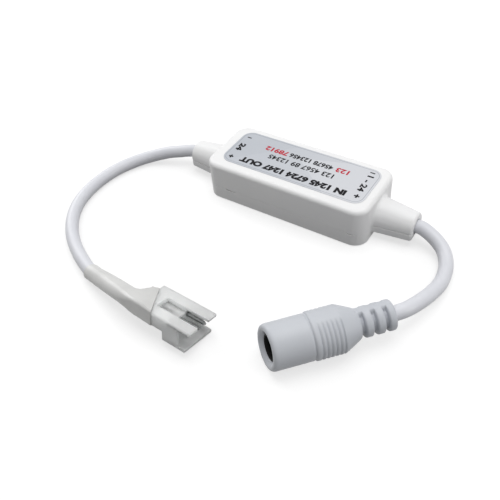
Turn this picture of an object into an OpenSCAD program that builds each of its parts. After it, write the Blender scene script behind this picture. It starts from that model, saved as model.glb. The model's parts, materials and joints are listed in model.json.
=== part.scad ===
/* [Housing] */
// Length of the housing between the cord bosses
body_l = 50; // [48:0.5:60]
// Width of the housing
body_w = 20.8; // [20:0.2:26]
// Height of the housing
body_h = 11.8; // [11.4:0.2:16]
// Radius of the upright corners
corner_r = 4; // [3:0.1:4.4]
// Radius of the top edge
top_r = 1.2; // [0.6:0.1:1.4]
// Radius of the bottom edge
foot_r = 0.4; // [0.2:0.1:0.6]
// Thickness of the walls of both half shells
wall = 1.2; // [1:0.1:1.4]
// Height of the seam between the two half shells
seam_z = 4.2; // [4:0.1:4.5]
// Height of the locating lip on the lower shell
lip_h = 0.9; // [0.7:0.1:1.2]
// Clearance between the lip and the upper shell
lip_gap = 0.1; // [0.05:0.05:0.2]

/* [Cord bosses] */
// Length of each boss
boss_l = 10.5; // [8:0.5:14]
// Radius of the arch where it leaves the end wall
boss_root_r = 4.9; // [4.4:0.1:5.2]
// Radius of the arch at its end face
boss_tip_r = 3.6; // [3.3:0.1:4]
// Height of the flat underside of the boss
boss_floor_z = 2.2; // [1.8:0.1:2.3]
// Bevel round the end face
boss_bevel = 0.4; // [0.2:0.1:0.6]

/* [Cords] */
// Diameter of the jacket of both cords
cord_d = 3.7; // [3.4:0.1:4]
// Height of the cord axis in the bosses
cord_z = 4.7; // [4.6:0.1:5]
// Diameter of the insulated wires inside the cords
core_d = 1.1; // [0.9:0.05:1.2]
// Diameter of the bare end of a wire
strand_d = 0.5; // [0.3:0.05:0.6]

/* [Circuit board] */
// Gap between the board and each end wall
board_end_gap = 2.8; // [2.4:0.1:3.2]
// Gap between the board and each side wall
board_side_gap = 1.2; // [0.8:0.1:1.4]
// Thickness of the board
board_t = 1; // [0.8:0.1:1.2]
// Height of the underside of the board
board_z = 2.4; // [2.2:0.1:2.5]
// Radius of the posts that carry the board
post_r = 1.4; // [1.2:0.1:1.5]
// Radius of the locating pin on each post
peg_r = 0.7; // [0.5:0.05:0.8]

/* [Electronic parts] */
// Diameter of the input capacitor
capacitor_d = 5; // [4:0.5:5.5]
// Length of the can of the input capacitor
capacitor_l = 11; // [9:0.5:11.5]
// Gap between the middle of the antenna wire and the top wall
antenna_gap = 1.8; // [1.2:0.1:2.4]
// Diameter of the antenna wire
antenna_d = 0.6; // [0.4:0.05:0.8]

/* [Power jack] */
// Radius of the smooth barrel
barrel_r = 5.45; // [5.2:0.05:5.6]
// Length of the smooth barrel
barrel_l = 10; // [8:0.5:11]
// Radius of the grip behind the barrel
grip_r = 5.7; // [5.65:0.05:6]
// Distance from the mouth to the end of the straight grip
grip_end = 16.9; // [16.5:0.1:18]
// Distance from the mouth to the end of the cone
cone_end = 22.4; // [22:0.1:22.6]
// Length of the whole jack
jack_l = 30.5; // [30.2:0.1:32]
// Radius of the strain relief
relief_r = 3.7; // [3.5:0.1:4]
// Radius of the round mouth
mouth_r = 3.2; // [3.15:0.05:3.3]
// Depth of the white wall of the mouth
mouth_depth = 2; // [1.5:0.1:2.5]
// Inner radius of the black insert
socket_r = 3.1; // [3:0.02:3.14]
// Outer radius of the black insert
insert_r = 4.3; // [4.2:0.05:4.4]
// Distance from the mouth to the bottom of the socket
socket_depth = 11; // [10:0.5:12]
// Radius of the centre pin
pin_r = 1.05; // [0.8:0.05:1.25]
// Distance from the mouth to the tip of the centre pin
pin_setback = 1; // [0.5:0.1:1.4]

/* [Three-pin connector] */
// Width of the connector
conn_w = 9.7; // [9.4:0.1:10.2]
// Height of the connector
conn_h = 6.3; // [6:0.1:6.6]
// Length of the body behind the pin wall
conn_rear_l = 8.2; // [7.5:0.1:9]
// Thickness of the wall that carries the pins
conn_front_t = 1.5; // [1.2:0.1:1.8]
// Length of the plate below the pins
conn_plate_l = 7; // [6:0.1:8]
// Thickness of the plate below the pins
conn_plate_t = 0.85; // [0.7:0.05:1]
// Length of the two rails above the pins
conn_rail_l = 8.3; // [7:0.1:9]
// Thickness of the two rails
conn_rail_t = 0.8; // [0.7:0.05:0.95]
// Width of each rail
conn_rail_w = 2.95; // [2.7:0.05:3.1]
// Distance between neighbouring pins
pin_pitch = 2.5; // [2.4:0.02:2.54]
// Diameter of the connector pins
contact_d = 1; // [0.8:0.05:1.1]
// Diameter of the wires that enter the connector
tail_d = 1.3; // [1:0.05:1.35]

/* [Hidden] */
$fn = 48;

// Overrun of every cut past the face that it opens
overrun = 0.4;

// Housing
half_l = body_l / 2;
half_w = body_w / 2;
cord_r = cord_d / 2;
boss_end_x = half_l + boss_l;
lip_inset = wall / 2 + lip_gap;
bead_r = 0.25;
bead_l = 5;
bead_place_share = 0.5;
notch_places_share = [-0.66, 0.88];
notch_w = 3;
notch_h = 0.45;
notch_depth = 0.5;

// Grip ribs inside the cord bores
cord_gap = 0.2;
rib_gap = 0.02;
rib_t = 0.8;
rib_shares = [0.3, 0.6, 0.9];

// Label on the top face
label_l = 43.9;
label_w = 15.1;
label_r = 3;
label_t = 0.12;
label_shift = [0.5, 0.4];

// Board and what holds it
board_l = body_l - 2 * (wall + board_end_gap);
board_w = body_w - 2 * (wall + board_side_gap);
board_top = board_z + board_t;
board_corner_r = 1;
post_inset = [2.5, 2.1];
post_x = board_l / 2 - post_inset.x;
post_y = board_w / 2 - post_inset.y;
peg_gap = 0.1;
peg_rise = 0.8;
jacket_gap = 0.5;
jacket_end_x = board_l / 2 + jacket_gap;

// Pads and solder
pad_inset = 4.6;
pad_x = board_l / 2 - pad_inset;
core_r = core_d / 2;
strand_r = strand_d / 2;
solder_r = 1;
solder_tip_r = 0.45;
solder_h = 1.15;
strip_l = 1.2;
strand_l = 1.5;
core_circle_r = 0.7;
pad_pitch = 2.4;

// Places of the electronic parts, in shares of half the board
chip_share = [-0.26, -0.48];
radio_share = [-0.38, 0.5];
crystal_share = [-0.06, 0.52];
regulator_share = [0.2, -0.52];
diode_share = [0.5, -0.6];
transistor_share = [-0.62, -0.5];
capacitor_share = [0.41, 0.55];
antenna_share = [-0.66, -0.86];
ceramic_shares = [[0.07, -0.2], [0.36, -0.2], [-0.2, 0.2], [-0.56, -0.12], [0.52, -0.12]];
resistor_shares = [[-0.62, 0.26], [-0.62, 0.5], [0.09, 0.84], [0.03, -0.46], [0.03, -0.72], [-0.55, -0.87]];

// Small outline packages
soic_w = 3.9;
soic_h = 1.4;
soic_lift = 0.1;
soic_draft = 0.15;
soic_pitch = 1.27;
control_pins = 8;
radio_pins = 4;
soic_end = 0.5;
lead_w = 0.4;
lead_t = 0.2;
lead_reach = 1.05;
lead_foot = 0.6;
dot_r = 0.35;
dot_depth = 0.1;

// Crystal in its metal can
crystal_l = 5;
crystal_w = 3.2;
crystal_h = 1.2;
crystal_corner_r = 0.6;
crystal_base_h = 0.5;
crystal_lid_inset = 0.25;

// Regulator with its tab, and the transistor
regulator_l = 4.5;
regulator_w = 2.5;
regulator_h = 1.5;
regulator_tab_w = 1.6;
regulator_tab_l = 1;
regulator_lead_pitch = 1.5;
transistor_l = 2.9;
transistor_w = 1.3;
transistor_h = 1;
transistor_pitch = 1.9;
transistor_reach = 0.6;

// Diode
diode_l = 4.3;
diode_w = 2.6;
diode_h = 2.1;
diode_lead_l = 0.5;
diode_lead_w = 1.4;
diode_band_w = 0.6;
diode_band_depth = 0.05;

// Chip capacitors and resistors
passive_l = 1.6;
passive_w = 0.8;
ceramic_h = 0.8;
resistor_h = 0.45;
terminal_l = 0.3;
terminal_t = 0.03;

// Input capacitor
capacitor_r = capacitor_d / 2;
capacitor_groove = 1.5;
capacitor_groove_r = 0.4;
capacitor_rim = 0.3;
capacitor_lead_r = 0.25;
capacitor_lead_pitch = 2;
capacitor_lead_l = 1.1;

// Antenna
antenna_h = body_h - wall - board_top - antenna_gap;
antenna_r = antenna_d / 2;
antenna_bend_r = 1.6;
antenna_run = 26;
antenna_foot_r = 0.8;
antenna_foot_h = 0.6;
antenna_foot_gap = 0.1;

// Jack lying on the table
jack_x = 21.8;
jack_y = -53.5;
jack_heading = 48.3;
jack_dir = [cos(jack_heading), sin(jack_heading), 0];
jack_mouth = [jack_x, jack_y, grip_r];
jack_end = jack_mouth + jack_l * jack_dir;
mouth_bevel = 0.35;
grip_step = 0.25;
relief_bevel = 0.3;
seam_groove_x = 12.1;
seam_groove_w = 0.25;
seam_groove_depth = 0.2;
flank_first_x = 13.45;
flank_pitch = 1;
flank_count = 6;
flank_w = 0.4;
flank_depth = 0.25;
flank_share = 0.72;
slot_first_x = 23.3;
slot_pitch = 2.8;
slot_count = 3;
slot_w = 1;
slot_floor_r = 2.4;
slot_bridge_w = 2.8;
insert_base_t = 2.6;
insert_end = socket_depth + insert_base_t;
pin_nose = 0.6;
pin_nose_share = 0.5;
pin_shank = 0.2;
pin_fit = 0.02;

// Side spring of the jack
spring_w = 1.8;
spring_t = 0.25;
spring_gap = 0.1;
spring_front_x = 4.4;
spring_seat = 0.9;
spring_bow = 0.5;
spring_slot_depth = 0.75;

// Three-pin connector, rolled on its long axis so that its far lower edge lies on the table
conn_x = -1.6;
conn_y = -61;
conn_yaw = -3.4;
conn_roll = 14;
conn_origin = [conn_x, conn_y, conn_w * sin(conn_roll)];
conn_rear_floor = 2.55;
conn_pin_z = 3.95;
conn_recess_floor = 4.85;
conn_recess_l = 4.3;
conn_latch_x = 2.2;
conn_latch_l = 2.2;
conn_latch_w = 3.5;
contact_tip_x = 7.1;
contact_nose = 0.6;
contact_rear_x = -5.2;
contact_step_x = -1;
contact_fit = 0.05;
contact_nose_share = 0.4;
tail_depth = 2.6;
tail_seat = 1.4;

// Shrunk sleeve, given in the frame of the connector: round on the cord, then flattened to a waist,
// then flared over the rear of the connector, with its rim cut obliquely
sleeve_start_r = 2.1;
sleeve_start_mid = [-30.6, 6.1, 1.35];
sleeve_wall = 0.3;
sleeve_gap = 0.05;
sleeve_cover = 3.3;
sleeve_waist_gap = 2;
sleeve_waist_w = 5.3;
sleeve_waist_rise = 0.2;
sleeve_waist_r = 0.5;
sleeve_rim_inset = 0.9;
sleeve_rim_rise = 0.5;
sleeve_rim_r = 0.45;
sleeve_floor_gap = 0.5;
sleeve_sides = 16;
sleeve_steps = 6;
sleeve_ease_share = 1.3;
start_skew_share = -0.25;
waist_skew_share = 0.2;
rim_skew_share = 0.75;

// Where the output cord enters the sleeve, and its direction there
sleeve_start = conn_place(sleeve_start_mid);
sleeve_dir = conn_turn(unit([1, start_skew_share, 0]));

// Cord routes, chosen by hand from the exit of the boss to what the cord carries
cord_lead = 1;
path_lead = 0.3;
cord_sides = 8;
input_exit = [boss_end_x, 0, cord_z];
output_exit = [-boss_end_x, 0, cord_z];
input_route = [
    [38.2, -0.3, 4.4], [40.3, -0.9, 3.8], [42.2, -1.7, 3.1], [43.9, -2.9, 2.5],
    [45.3, -4.8, 2.1], [46.4, -7.2, 1.9], [47, -9.8, 1.9], [47.3, -12.6, 2],
    [47.2, -15.4, 2.4], [46.8, -18.2, 3], [46.4, -20.8, 3.8], [45.9, -23.2, 4.6],
    [45.2, -25.6, 5.2], [44.3, -27.8, 5.6]
];
output_route = [
    [-38.8, -0.7, 4.5], [-41.4, -1.8, 4.1], [-44.4, -3, 3.6], [-47.4, -4.6, 2.9],
    [-50, -6.4, 2.3], [-52.1, -8.7, 2], [-53.8, -11.5, 1.9], [-55.2, -14.7, 1.9],
    [-56.2, -18.3, 1.9], [-56.7, -22.3, 1.9], [-56.7, -26.5, 1.9], [-56.1, -30.7, 1.9],
    [-54.7, -35, 1.9], [-52.2, -39.3, 1.9], [-48.8, -43.2, 1.9], [-44.8, -46.5, 1.9],
    [-40.6, -49.1, 1.9], [-36.6, -51.1, 2]
];
input_path = concat(
    [input_exit, input_exit + [cord_lead, 0, 0]],
    input_route,
    [jack_end + cord_lead * jack_dir, jack_end]
);
output_path = concat(
    [output_exit, output_exit - [cord_lead, 0, 0]],
    output_route,
    [sleeve_start - cord_lead * sleeve_dir, sleeve_start]
);

function unit(v) = v / norm(v);

// Point on a cubic curve that leaves a along da and arrives at b along db
function curve_point(a, da, b, db, t) =
    let (s = 1 - t)
    s * s * s * a + 3 * s * s * t * (a + da) + 3 * s * t * t * (b - db) + t * t * t * b;

// Path along such a curve, with a short straight lead at each end
function curve_path(a, da, b, db, steps) =
    let (start = a + path_lead * unit(da), finish = b - path_lead * unit(db))
    concat([a], [for (i = [0 : steps]) curve_point(start, da, finish, db, i / steps)], [b]);

function tangent_at(path, i) = unit(path[min(i + 1, len(path) - 1)] - path[max(i - 1, 0)]);

// Ring of points round one place of a path
function ring_at(centre, along, r, sides, up) =
    let (side = unit(cross(along, up)), rise = cross(side, along))
    [for (k = [0 : sides - 1]) centre + r * (cos(360 * k / sides) * side + sin(360 * k / sides) * rise)];

// Closed skin through a list of rings with the same number of points each
module ring_skin(rings) {
    sides = len(rings[0]);
    last = len(rings) - 1;
    walls = [
        for (i = [0 : last - 1], k = [0 : sides - 1])
        let (a = i * sides + k, b = i * sides + (k + 1) % sides)
        each [[a, b, a + sides], [b, b + sides, a + sides]]
    ];
    near_cap = [for (k = [1 : sides - 2]) [0, k + 1, k]];
    far_cap = [for (k = [1 : sides - 2]) [last * sides, last * sides + k, last * sides + k + 1]];
    polyhedron(points = [for (ring = rings) each ring], faces = concat(walls, near_cap, far_cap));
}

// Tube of one radius along a path
module even_tube(path, r, sides = 8, up = [0, 0, 1]) {
    ring_skin([for (i = [0 : len(path) - 1]) ring_at(path[i], tangent_at(path, i), r, sides, up)]);
}

// Turns a solid that stands on the z axis so that it lies along the x axis
module along_x() {
    rotate([0, 90, 0]) children();
}

module both_ends() {
    children();
    mirror([1, 0, 0]) children();
}

module four_corners(x, y) {
    for (sx = [-1, 1], sy = [-1, 1]) translate([sx * x, sy * y, 0]) children();
}

// Outline of a plate with round corners
module round_outline(l, w, r) {
    square([l - 2 * r, w], center = true);
    square([l, w - 2 * r], center = true);
    for (sx = [-1, 1], sy = [-1, 1])
        translate([sx * (l / 2 - r), sy * (w / 2 - r)]) circle(r);
}

module round_plate(l, w, r, h) {
    linear_extrude(height = h) round_outline(l, w, r);
}

// Section through one edge of the housing, with its top and foot rounded
module edge_section() {
    translate([0, foot_r]) square([corner_r, body_h - top_r - foot_r]);
    translate([0, foot_r]) square([corner_r - top_r, body_h - foot_r]);
    square([corner_r - foot_r, body_h - top_r]);
    translate([corner_r - top_r, body_h - top_r]) circle(top_r);
    translate([corner_r - foot_r, foot_r]) circle(foot_r);
}

// Block of the housing: core, four side strips and four turned corners
module housing_block() {
    core_x = half_l - corner_r;
    core_y = half_w - corner_r;
    translate([-core_x, -core_y, 0]) cube([2 * core_x, 2 * core_y, body_h]);
    for (turn = [0, 180]) rotate([0, 0, turn]) {
        translate([-core_x, core_y, 0]) rotate([90, 0, 90])
            linear_extrude(height = 2 * core_x) edge_section();
        translate([core_x, core_y, 0]) rotate([90, 0, 0])
            linear_extrude(height = 2 * core_y) edge_section();
        translate([core_x, core_y, 0]) rotate_extrude(angle = 90) edge_section();
        translate([-core_x, core_y, 0]) rotate([0, 0, 90]) rotate_extrude(angle = 90) edge_section();
    }
}

// Radius of a cord boss at a distance from the end wall
function boss_r(x) = boss_root_r + (boss_tip_r - boss_root_r) * x / boss_l;

// Cord boss: tapered arch over straight sides, with a flat underside
module boss() {
    root_x = -wall / 2;
    bevel_x = boss_l - boss_bevel;
    end_r = boss_tip_r - boss_bevel;
    reach = boss_root_r + wall;
    translate([half_l, 0, 0]) {
        intersection() {
            translate([0, 0, cord_z]) along_x() rotate_extrude() polygon([
                [0, root_x], [boss_r(root_x), root_x], [boss_r(bevel_x), bevel_x],
                [end_r, boss_l], [0, boss_l]
            ]);
            translate([root_x, -reach, cord_z]) cube([boss_l + wall, 2 * reach, reach]);
        }
        translate([0, 0, boss_floor_z]) linear_extrude(height = cord_z - boss_floor_z) polygon([
            [root_x, -boss_r(root_x)], [bevel_x, -boss_r(bevel_x)], [boss_l, -end_r],
            [boss_l, end_r], [bevel_x, boss_r(bevel_x)], [root_x, boss_r(root_x)]
        ]);
    }
}

module housing_blank() {
    housing_block();
    both_ends() boss();
}

module cavity() {
    translate([0, 0, wall])
        round_plate(body_l - 2 * wall, body_w - 2 * wall, corner_r - wall, body_h - 2 * wall);
}

// Space on one side of the seam
module above_seam() {
    translate([-boss_end_x - overrun, -half_w - overrun, seam_z])
        cube([2 * (boss_end_x + overrun), 2 * (half_w + overrun), body_h]);
}

module below_seam() {
    translate([-boss_end_x - overrun, -half_w - overrun, seam_z - body_h])
        cube([2 * (boss_end_x + overrun), 2 * (half_w + overrun), body_h]);
}

// Bore for a cord, narrowed by ribs that grip the jacket
module cord_bore() {
    start_x = half_l - wall - overrun;
    bore_l = boss_l + wall + 2 * overrun;
    translate([start_x, 0, cord_z]) along_x() difference() {
        cylinder(r = cord_r + cord_gap, h = bore_l);
        for (share = rib_shares) translate([0, 0, share * boss_l]) difference() {
            cylinder(r = cord_r + 2 * cord_gap, h = rib_t);
            translate([0, 0, -overrun]) cylinder(r = cord_r + rib_gap, h = rib_t + 2 * overrun);
        }
    }
}

// Rod along the outer face of the lip, for the snap bead and its groove
module snap_rods(r, l) {
    rod_y = half_w - lip_inset;
    rod_z = seam_z + lip_h / 2;
    for (sx = [-1, 1], sy = [-1, 1])
        translate([sx * bead_place_share * half_l - l / 2, sy * rod_y, rod_z]) along_x() cylinder(r = r, h = l);
}

module upper_shell() {
    color("white") difference() {
        union() {
            difference() {
                intersection() {
                    housing_blank();
                    above_seam();
                }
                cavity();
                translate([0, 0, seam_z - overrun])
                    round_plate(body_l - wall, body_w - wall, corner_r - wall / 2, lip_h + lip_gap + overrun);
                snap_rods(bead_r + lip_gap, bead_l + 2 * lip_gap);
            }
            // Columns that hold the board down
            four_corners(post_x, post_y) translate([0, 0, board_top])
                cylinder(r = post_r, h = body_h - wall / 2 - board_top);
        }
        both_ends() cord_bore();
        four_corners(post_x, post_y) translate([0, 0, board_top - overrun])
            cylinder(r = peg_r + peg_gap, h = peg_rise + peg_gap + overrun);
    }
}

module lower_shell() {
    color("whitesmoke") difference() {
        union() {
            difference() {
                union() {
                    intersection() {
                        housing_blank();
                        below_seam();
                    }
                    translate([0, 0, seam_z - wall])
                        round_plate(
                            body_l - 2 * lip_inset, body_w - 2 * lip_inset,
                            corner_r - lip_inset, wall + lip_h
                        );
                    snap_rods(bead_r, bead_l);
                }
                cavity();
            }
            // Posts under the board, each with its locating peg
            four_corners(post_x, post_y) {
                translate([0, 0, wall / 2]) cylinder(r = post_r, h = board_z - wall / 2);
                translate([0, 0, board_z - overrun]) cylinder(r = peg_r, h = board_t + peg_rise + overrun);
            }
        }
        both_ends() cord_bore();
        // Notches for prising the shells apart
        for (share = notch_places_share)
            translate([share * half_l - notch_w / 2, -half_w - overrun, seam_z - notch_h])
                cube([notch_w, notch_depth + overrun, notch_h + overrun]);
    }
}

module label() {
    color("lightsteelblue") translate([label_shift.x, label_shift.y, body_h])
        round_plate(label_l, label_w, label_r, label_t);
}

module circuit_board() {
    color("darkgreen") translate([0, 0, board_z]) difference() {
        round_plate(board_l, board_w, board_corner_r, board_t);
        four_corners(post_x, post_y) translate([0, 0, -overrun])
            cylinder(r = peg_r + peg_gap, h = board_t + 2 * overrun);
    }
}

// Moves a part to its place on the board, given in shares of half the board
module on_board(share) {
    translate([share.x * board_l / 2, share.y * board_w / 2, board_top]) children();
}

// Moulded package body with drafted sides, centred on its place
module package_body(l, w, h, draft) {
    translate([-l / 2, 0, 0]) rotate([90, 0, 90]) linear_extrude(height = l) polygon([
        [draft - w / 2, 0], [w / 2 - draft, 0], [w / 2, h / 2],
        [w / 2 - draft, h], [draft - w / 2, h], [-w / 2, h / 2]
    ]);
}

// Lead that leaves the side of a package at half its height and bends down to the board
module gull_lead(side_y, height, reach, foot, width) {
    bend_y = side_y + reach - foot;
    translate([-width / 2, 0, 0]) rotate([90, 0, 90]) linear_extrude(height = width) polygon([
        [side_y - lead_t, height], [bend_y - lead_t, height], [bend_y - lead_t, 0], [side_y + reach, 0],
        [side_y + reach, lead_t], [bend_y, lead_t], [bend_y, height + lead_t], [side_y - lead_t, height + lead_t]
    ]);
}

// Chip with gull-wing leads along both long sides
module small_outline_chip(leads) {
    chip_l = (leads - 1) * soic_pitch + 2 * soic_end;
    color("dimgray") {
        difference() {
            translate([0, 0, soic_lift]) package_body(chip_l, soic_w, soic_h, soic_draft);
            translate([dot_r + soic_end - chip_l / 2, 2 * dot_r - soic_w / 2, soic_lift + soic_h - dot_depth])
                cylinder(r = dot_r, h = dot_depth + overrun);
        }
        for (i = [0 : leads - 1], turn = [0, 180]) rotate([0, 0, turn])
            translate([(i - (leads - 1) / 2) * soic_pitch, 0, 0])
                gull_lead(soic_w / 2, soic_lift + soic_h / 2, lead_reach, lead_foot, lead_w);
    }
}

module control_chip() {
    on_board(chip_share) small_outline_chip(control_pins);
}

module radio_chip() {
    on_board(radio_share) small_outline_chip(radio_pins);
}

module crystal() {
    color("silver") on_board(crystal_share) {
        round_plate(crystal_l, crystal_w, crystal_corner_r, crystal_base_h);
        round_plate(
            crystal_l - 2 * crystal_lid_inset, crystal_w - 2 * crystal_lid_inset,
            crystal_corner_r - crystal_lid_inset, crystal_h
        );
    }
}

module voltage_regulator() {
    color("darkslategray") on_board(regulator_share) {
        package_body(regulator_l, regulator_w, regulator_h, soic_draft);
        for (i = [-1 : 1]) translate([i * regulator_lead_pitch - lead_w / 2, -regulator_w / 2 - regulator_tab_l, 0])
            cube([lead_w, regulator_tab_l + soic_draft + lead_t, lead_t]);
        translate([-regulator_tab_w / 2, regulator_w / 2 - soic_draft - lead_t, 0])
            cube([regulator_tab_w, regulator_tab_l + soic_draft + lead_t, lead_t]);
    }
}

module driver_transistor() {
    color("dimgray") on_board(transistor_share) {
        translate([0, 0, soic_lift]) package_body(transistor_l, transistor_w, transistor_h, soic_draft);
        for (i = [-1, 1]) translate([i * transistor_pitch / 2, 0, 0]) rotate([0, 0, 180])
            gull_lead(transistor_w / 2, soic_lift + transistor_h / 2, transistor_reach, lead_w, lead_w);
        gull_lead(transistor_w / 2, soic_lift + transistor_h / 2, transistor_reach, lead_w, lead_w);
    }
}

module protection_diode() {
    color("black") on_board(diode_share) {
        difference() {
            package_body(diode_l, diode_w, diode_h, soic_draft);
            translate([diode_band_w - diode_l / 2, -diode_w / 2, diode_h - diode_band_depth])
                cube([diode_band_w, diode_w, diode_band_depth + overrun]);
        }
        for (turn = [0, 180]) rotate([0, 0, turn])
            translate([diode_l / 2 - lead_t, -diode_lead_w / 2, 0])
                cube([diode_lead_l + lead_t, diode_lead_w, lead_t]);
    }
}

// Chip part whose end caps stand slightly proud of its body
module chip_part(h) {
    translate([-passive_l / 2 + terminal_l / 2, terminal_t - passive_w / 2, terminal_t])
        cube([passive_l - terminal_l, passive_w - 2 * terminal_t, h - 2 * terminal_t]);
    both_ends() translate([passive_l / 2 - terminal_l, -passive_w / 2, 0]) cube([terminal_l, passive_w, h]);
}

module ceramic_capacitors() {
    color("tan") for (share = ceramic_shares) on_board(share) chip_part(ceramic_h);
}

module resistors() {
    color("black") for (share = resistor_shares) on_board(share) chip_part(resistor_h);
}

// Electrolytic can lying along the board, with its crimp groove and two bent leads
module input_capacitor() {
    color("navy") on_board(capacitor_share) {
        translate([-capacitor_l / 2, 0, capacitor_r]) along_x() difference() {
            cylinder(r = capacitor_r, h = capacitor_l);
            translate([0, 0, capacitor_l - capacitor_groove]) rotate_extrude()
                translate([capacitor_r + capacitor_groove_r / 2, 0]) circle(capacitor_groove_r);
            translate([0, 0, capacitor_l - capacitor_rim])
                cylinder(r = capacitor_r - 2 * capacitor_rim, h = capacitor_rim + overrun);
        }
        for (sy = [-1, 1]) translate([capacitor_l / 2 - capacitor_rim, sy * capacitor_lead_pitch / 2, 0]) {
            translate([0, 0, capacitor_r]) along_x()
                cylinder(r = capacitor_lead_r, h = capacitor_lead_l + capacitor_rim);
            translate([capacitor_lead_l + capacitor_rim - capacitor_lead_r, 0, 0])
                cylinder(r = capacitor_lead_r, h = capacitor_r + capacitor_lead_r);
        }
    }
}

// Place of the antenna foot, and the path that rises from it and then runs along the board
antenna_foot = [antenna_share.x * board_l / 2, antenna_share.y * board_w / 2, board_top];
antenna_bend = antenna_foot + [antenna_bend_r, 0, antenna_h - antenna_bend_r];
antenna_path = concat(
    [antenna_foot],
    [for (a = [180 : -18 : 90]) antenna_bend + antenna_bend_r * [cos(a), 0, sin(a)]],
    [antenna_foot + [antenna_bend_r + antenna_run, 0, antenna_h]]
);

module antenna_wire() {
    color("goldenrod") even_tube(antenna_path, antenna_r, cord_sides, [0, 1, 0]);
}

// Inner wires: each leaves the cut jacket of its cord and ends in solder on its pad
function core_start(side, angle) =
    [side * jacket_end_x, core_circle_r * cos(angle), cord_z + core_circle_r * sin(angle)];
function core_finish(side, pad_y) = [side * (pad_x + strip_l), pad_y, board_top + core_r];
function pad_place(side, pad_y) = [side * pad_x, pad_y, board_top];

module strand(side, pad_y) {
    translate(core_finish(side, pad_y)) mirror([side > 0 ? 1 : 0, 0, 0])
        along_x() cylinder(r = strand_r, h = strand_l);
}

module inner_wire(side, angle, pad_y) {
    reach = [-side * (jacket_end_x - pad_x - strip_l) / 2, 0, 0];
    even_tube(
        curve_path(core_start(side, angle), reach, core_finish(side, pad_y), reach, 6),
        core_r
    );
    strand(side, pad_y);
}

module input_wire_positive() {
    color("red") inner_wire(1, 0, pad_pitch);
}

module input_wire_negative() {
    color("black") inner_wire(1, 180, -pad_pitch);
}

module output_wire_positive() {
    color("red") inner_wire(-1, -30, pad_pitch);
}

module output_wire_data() {
    color("green") inner_wire(-1, 90, 0);
}

module output_wire_ground() {
    color("ivory") inner_wire(-1, 210, -pad_pitch);
}

module solder_joint(side, pad_y) {
    difference() {
        translate(pad_place(side, pad_y)) cylinder(r1 = solder_r, r2 = solder_tip_r, h = solder_h);
        strand(side, pad_y);
    }
}

module solder_joints() {
    color("silver") {
        for (sy = [-1, 1]) solder_joint(1, sy * pad_pitch);
        for (sy = [-1 : 1]) solder_joint(-1, sy * pad_pitch);
        translate(antenna_foot) difference() {
            cylinder(r1 = antenna_foot_r, r2 = antenna_r + antenna_foot_gap, h = antenna_foot_h);
            cylinder(r = antenna_r + antenna_foot_gap / 2, h = antenna_foot_h + overrun);
        }
    }
}

// Stretch of a cord that lies inside its boss
module cord_entry() {
    translate([jacket_end_x, 0, cord_z]) along_x() cylinder(r = cord_r, h = boss_end_x - jacket_end_x);
}

module input_cord_entry() {
    color("gainsboro") cord_entry();
}

module output_cord_entry() {
    color("gainsboro") mirror([1, 0, 0]) cord_entry();
}

module input_cord() {
    color("gainsboro") even_tube(input_path, cord_r, cord_sides);
}

module output_cord() {
    color("gainsboro") even_tube(output_path, cord_r, cord_sides);
}

// Moves a piece of the jack, made along the x axis from its mouth, to where the jack lies
module at_jack() {
    translate(jack_mouth) rotate([0, 0, jack_heading]) children();
}

// Outer radius of the jack behind the barrel
function jack_r(x) =
    x < grip_end ? grip_r : grip_r - (grip_r - relief_r) * (x - grip_end) / (cone_end - grip_end);

// Square-edged groove turned round the jack
module ring_groove(x, w, floor_r) {
    translate([x - w / 2, 0, 0]) along_x() difference() {
        cylinder(r = grip_r + overrun, h = w);
        translate([0, 0, -overrun]) cylinder(r = floor_r, h = w + 2 * overrun);
    }
}

module jack_outer() {
    along_x() rotate_extrude() polygon([
        [0, 0], [barrel_r - mouth_bevel, 0], [barrel_r, mouth_bevel], [barrel_r, barrel_l],
        [grip_r, barrel_l + grip_step], [grip_r, grip_end], [relief_r, cone_end],
        [relief_r, jack_l - relief_bevel], [relief_r - relief_bevel, jack_l], [0, jack_l]
    ]);
}

// Fine grooves that cross the two flanks of the grip
module flank_grooves() {
    flank_h = 2 * flank_share * grip_r;
    intersection() {
        for (i = [0 : flank_count - 1]) {
            x = flank_first_x + i * flank_pitch;
            ring_groove(x, flank_w, jack_r(x + flank_w / 2) - flank_depth);
        }
        translate([0, -grip_r - overrun, -flank_h / 2]) cube([jack_l, 2 * (grip_r + overrun), flank_h]);
    }
}

// Deep slots of the strain relief, left and right of an uncut bridge
module relief_slots() {
    difference() {
        for (i = [0 : slot_count - 1]) ring_groove(slot_first_x + i * slot_pitch, slot_w, slot_floor_r);
        translate([0, -slot_bridge_w / 2, -grip_r - overrun])
            cube([jack_l, slot_bridge_w, 2 * (grip_r + overrun)]);
    }
}

module jack_body() {
    color("white") at_jack() difference() {
        jack_outer();
        along_x() translate([0, 0, -overrun]) cylinder(r = mouth_r, h = mouth_depth + 2 * overrun);
        along_x() translate([0, 0, mouth_depth]) cylinder(r = insert_r, h = insert_end - mouth_depth);
        ring_groove(seam_groove_x, seam_groove_w, grip_r - seam_groove_depth);
        flank_grooves();
        relief_slots();
    }
}

module jack_insert() {
    color("black") at_jack() difference() {
        along_x() translate([0, 0, mouth_depth]) cylinder(r = insert_r, h = insert_end - mouth_depth);
        along_x() translate([0, 0, mouth_depth - overrun])
            cylinder(r = socket_r, h = socket_depth - mouth_depth + overrun);
        along_x() cylinder(r = pin_r + pin_shank + pin_fit, h = insert_end + overrun);
        // Pocket for the side spring
        translate([spring_front_x - spring_gap, 0, -spring_w / 2 - spring_gap])
            cube([
                socket_depth + spring_seat - spring_front_x + 2 * spring_gap,
                socket_r + spring_slot_depth,
                spring_w + 2 * spring_gap
            ]);
    }
}

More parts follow.
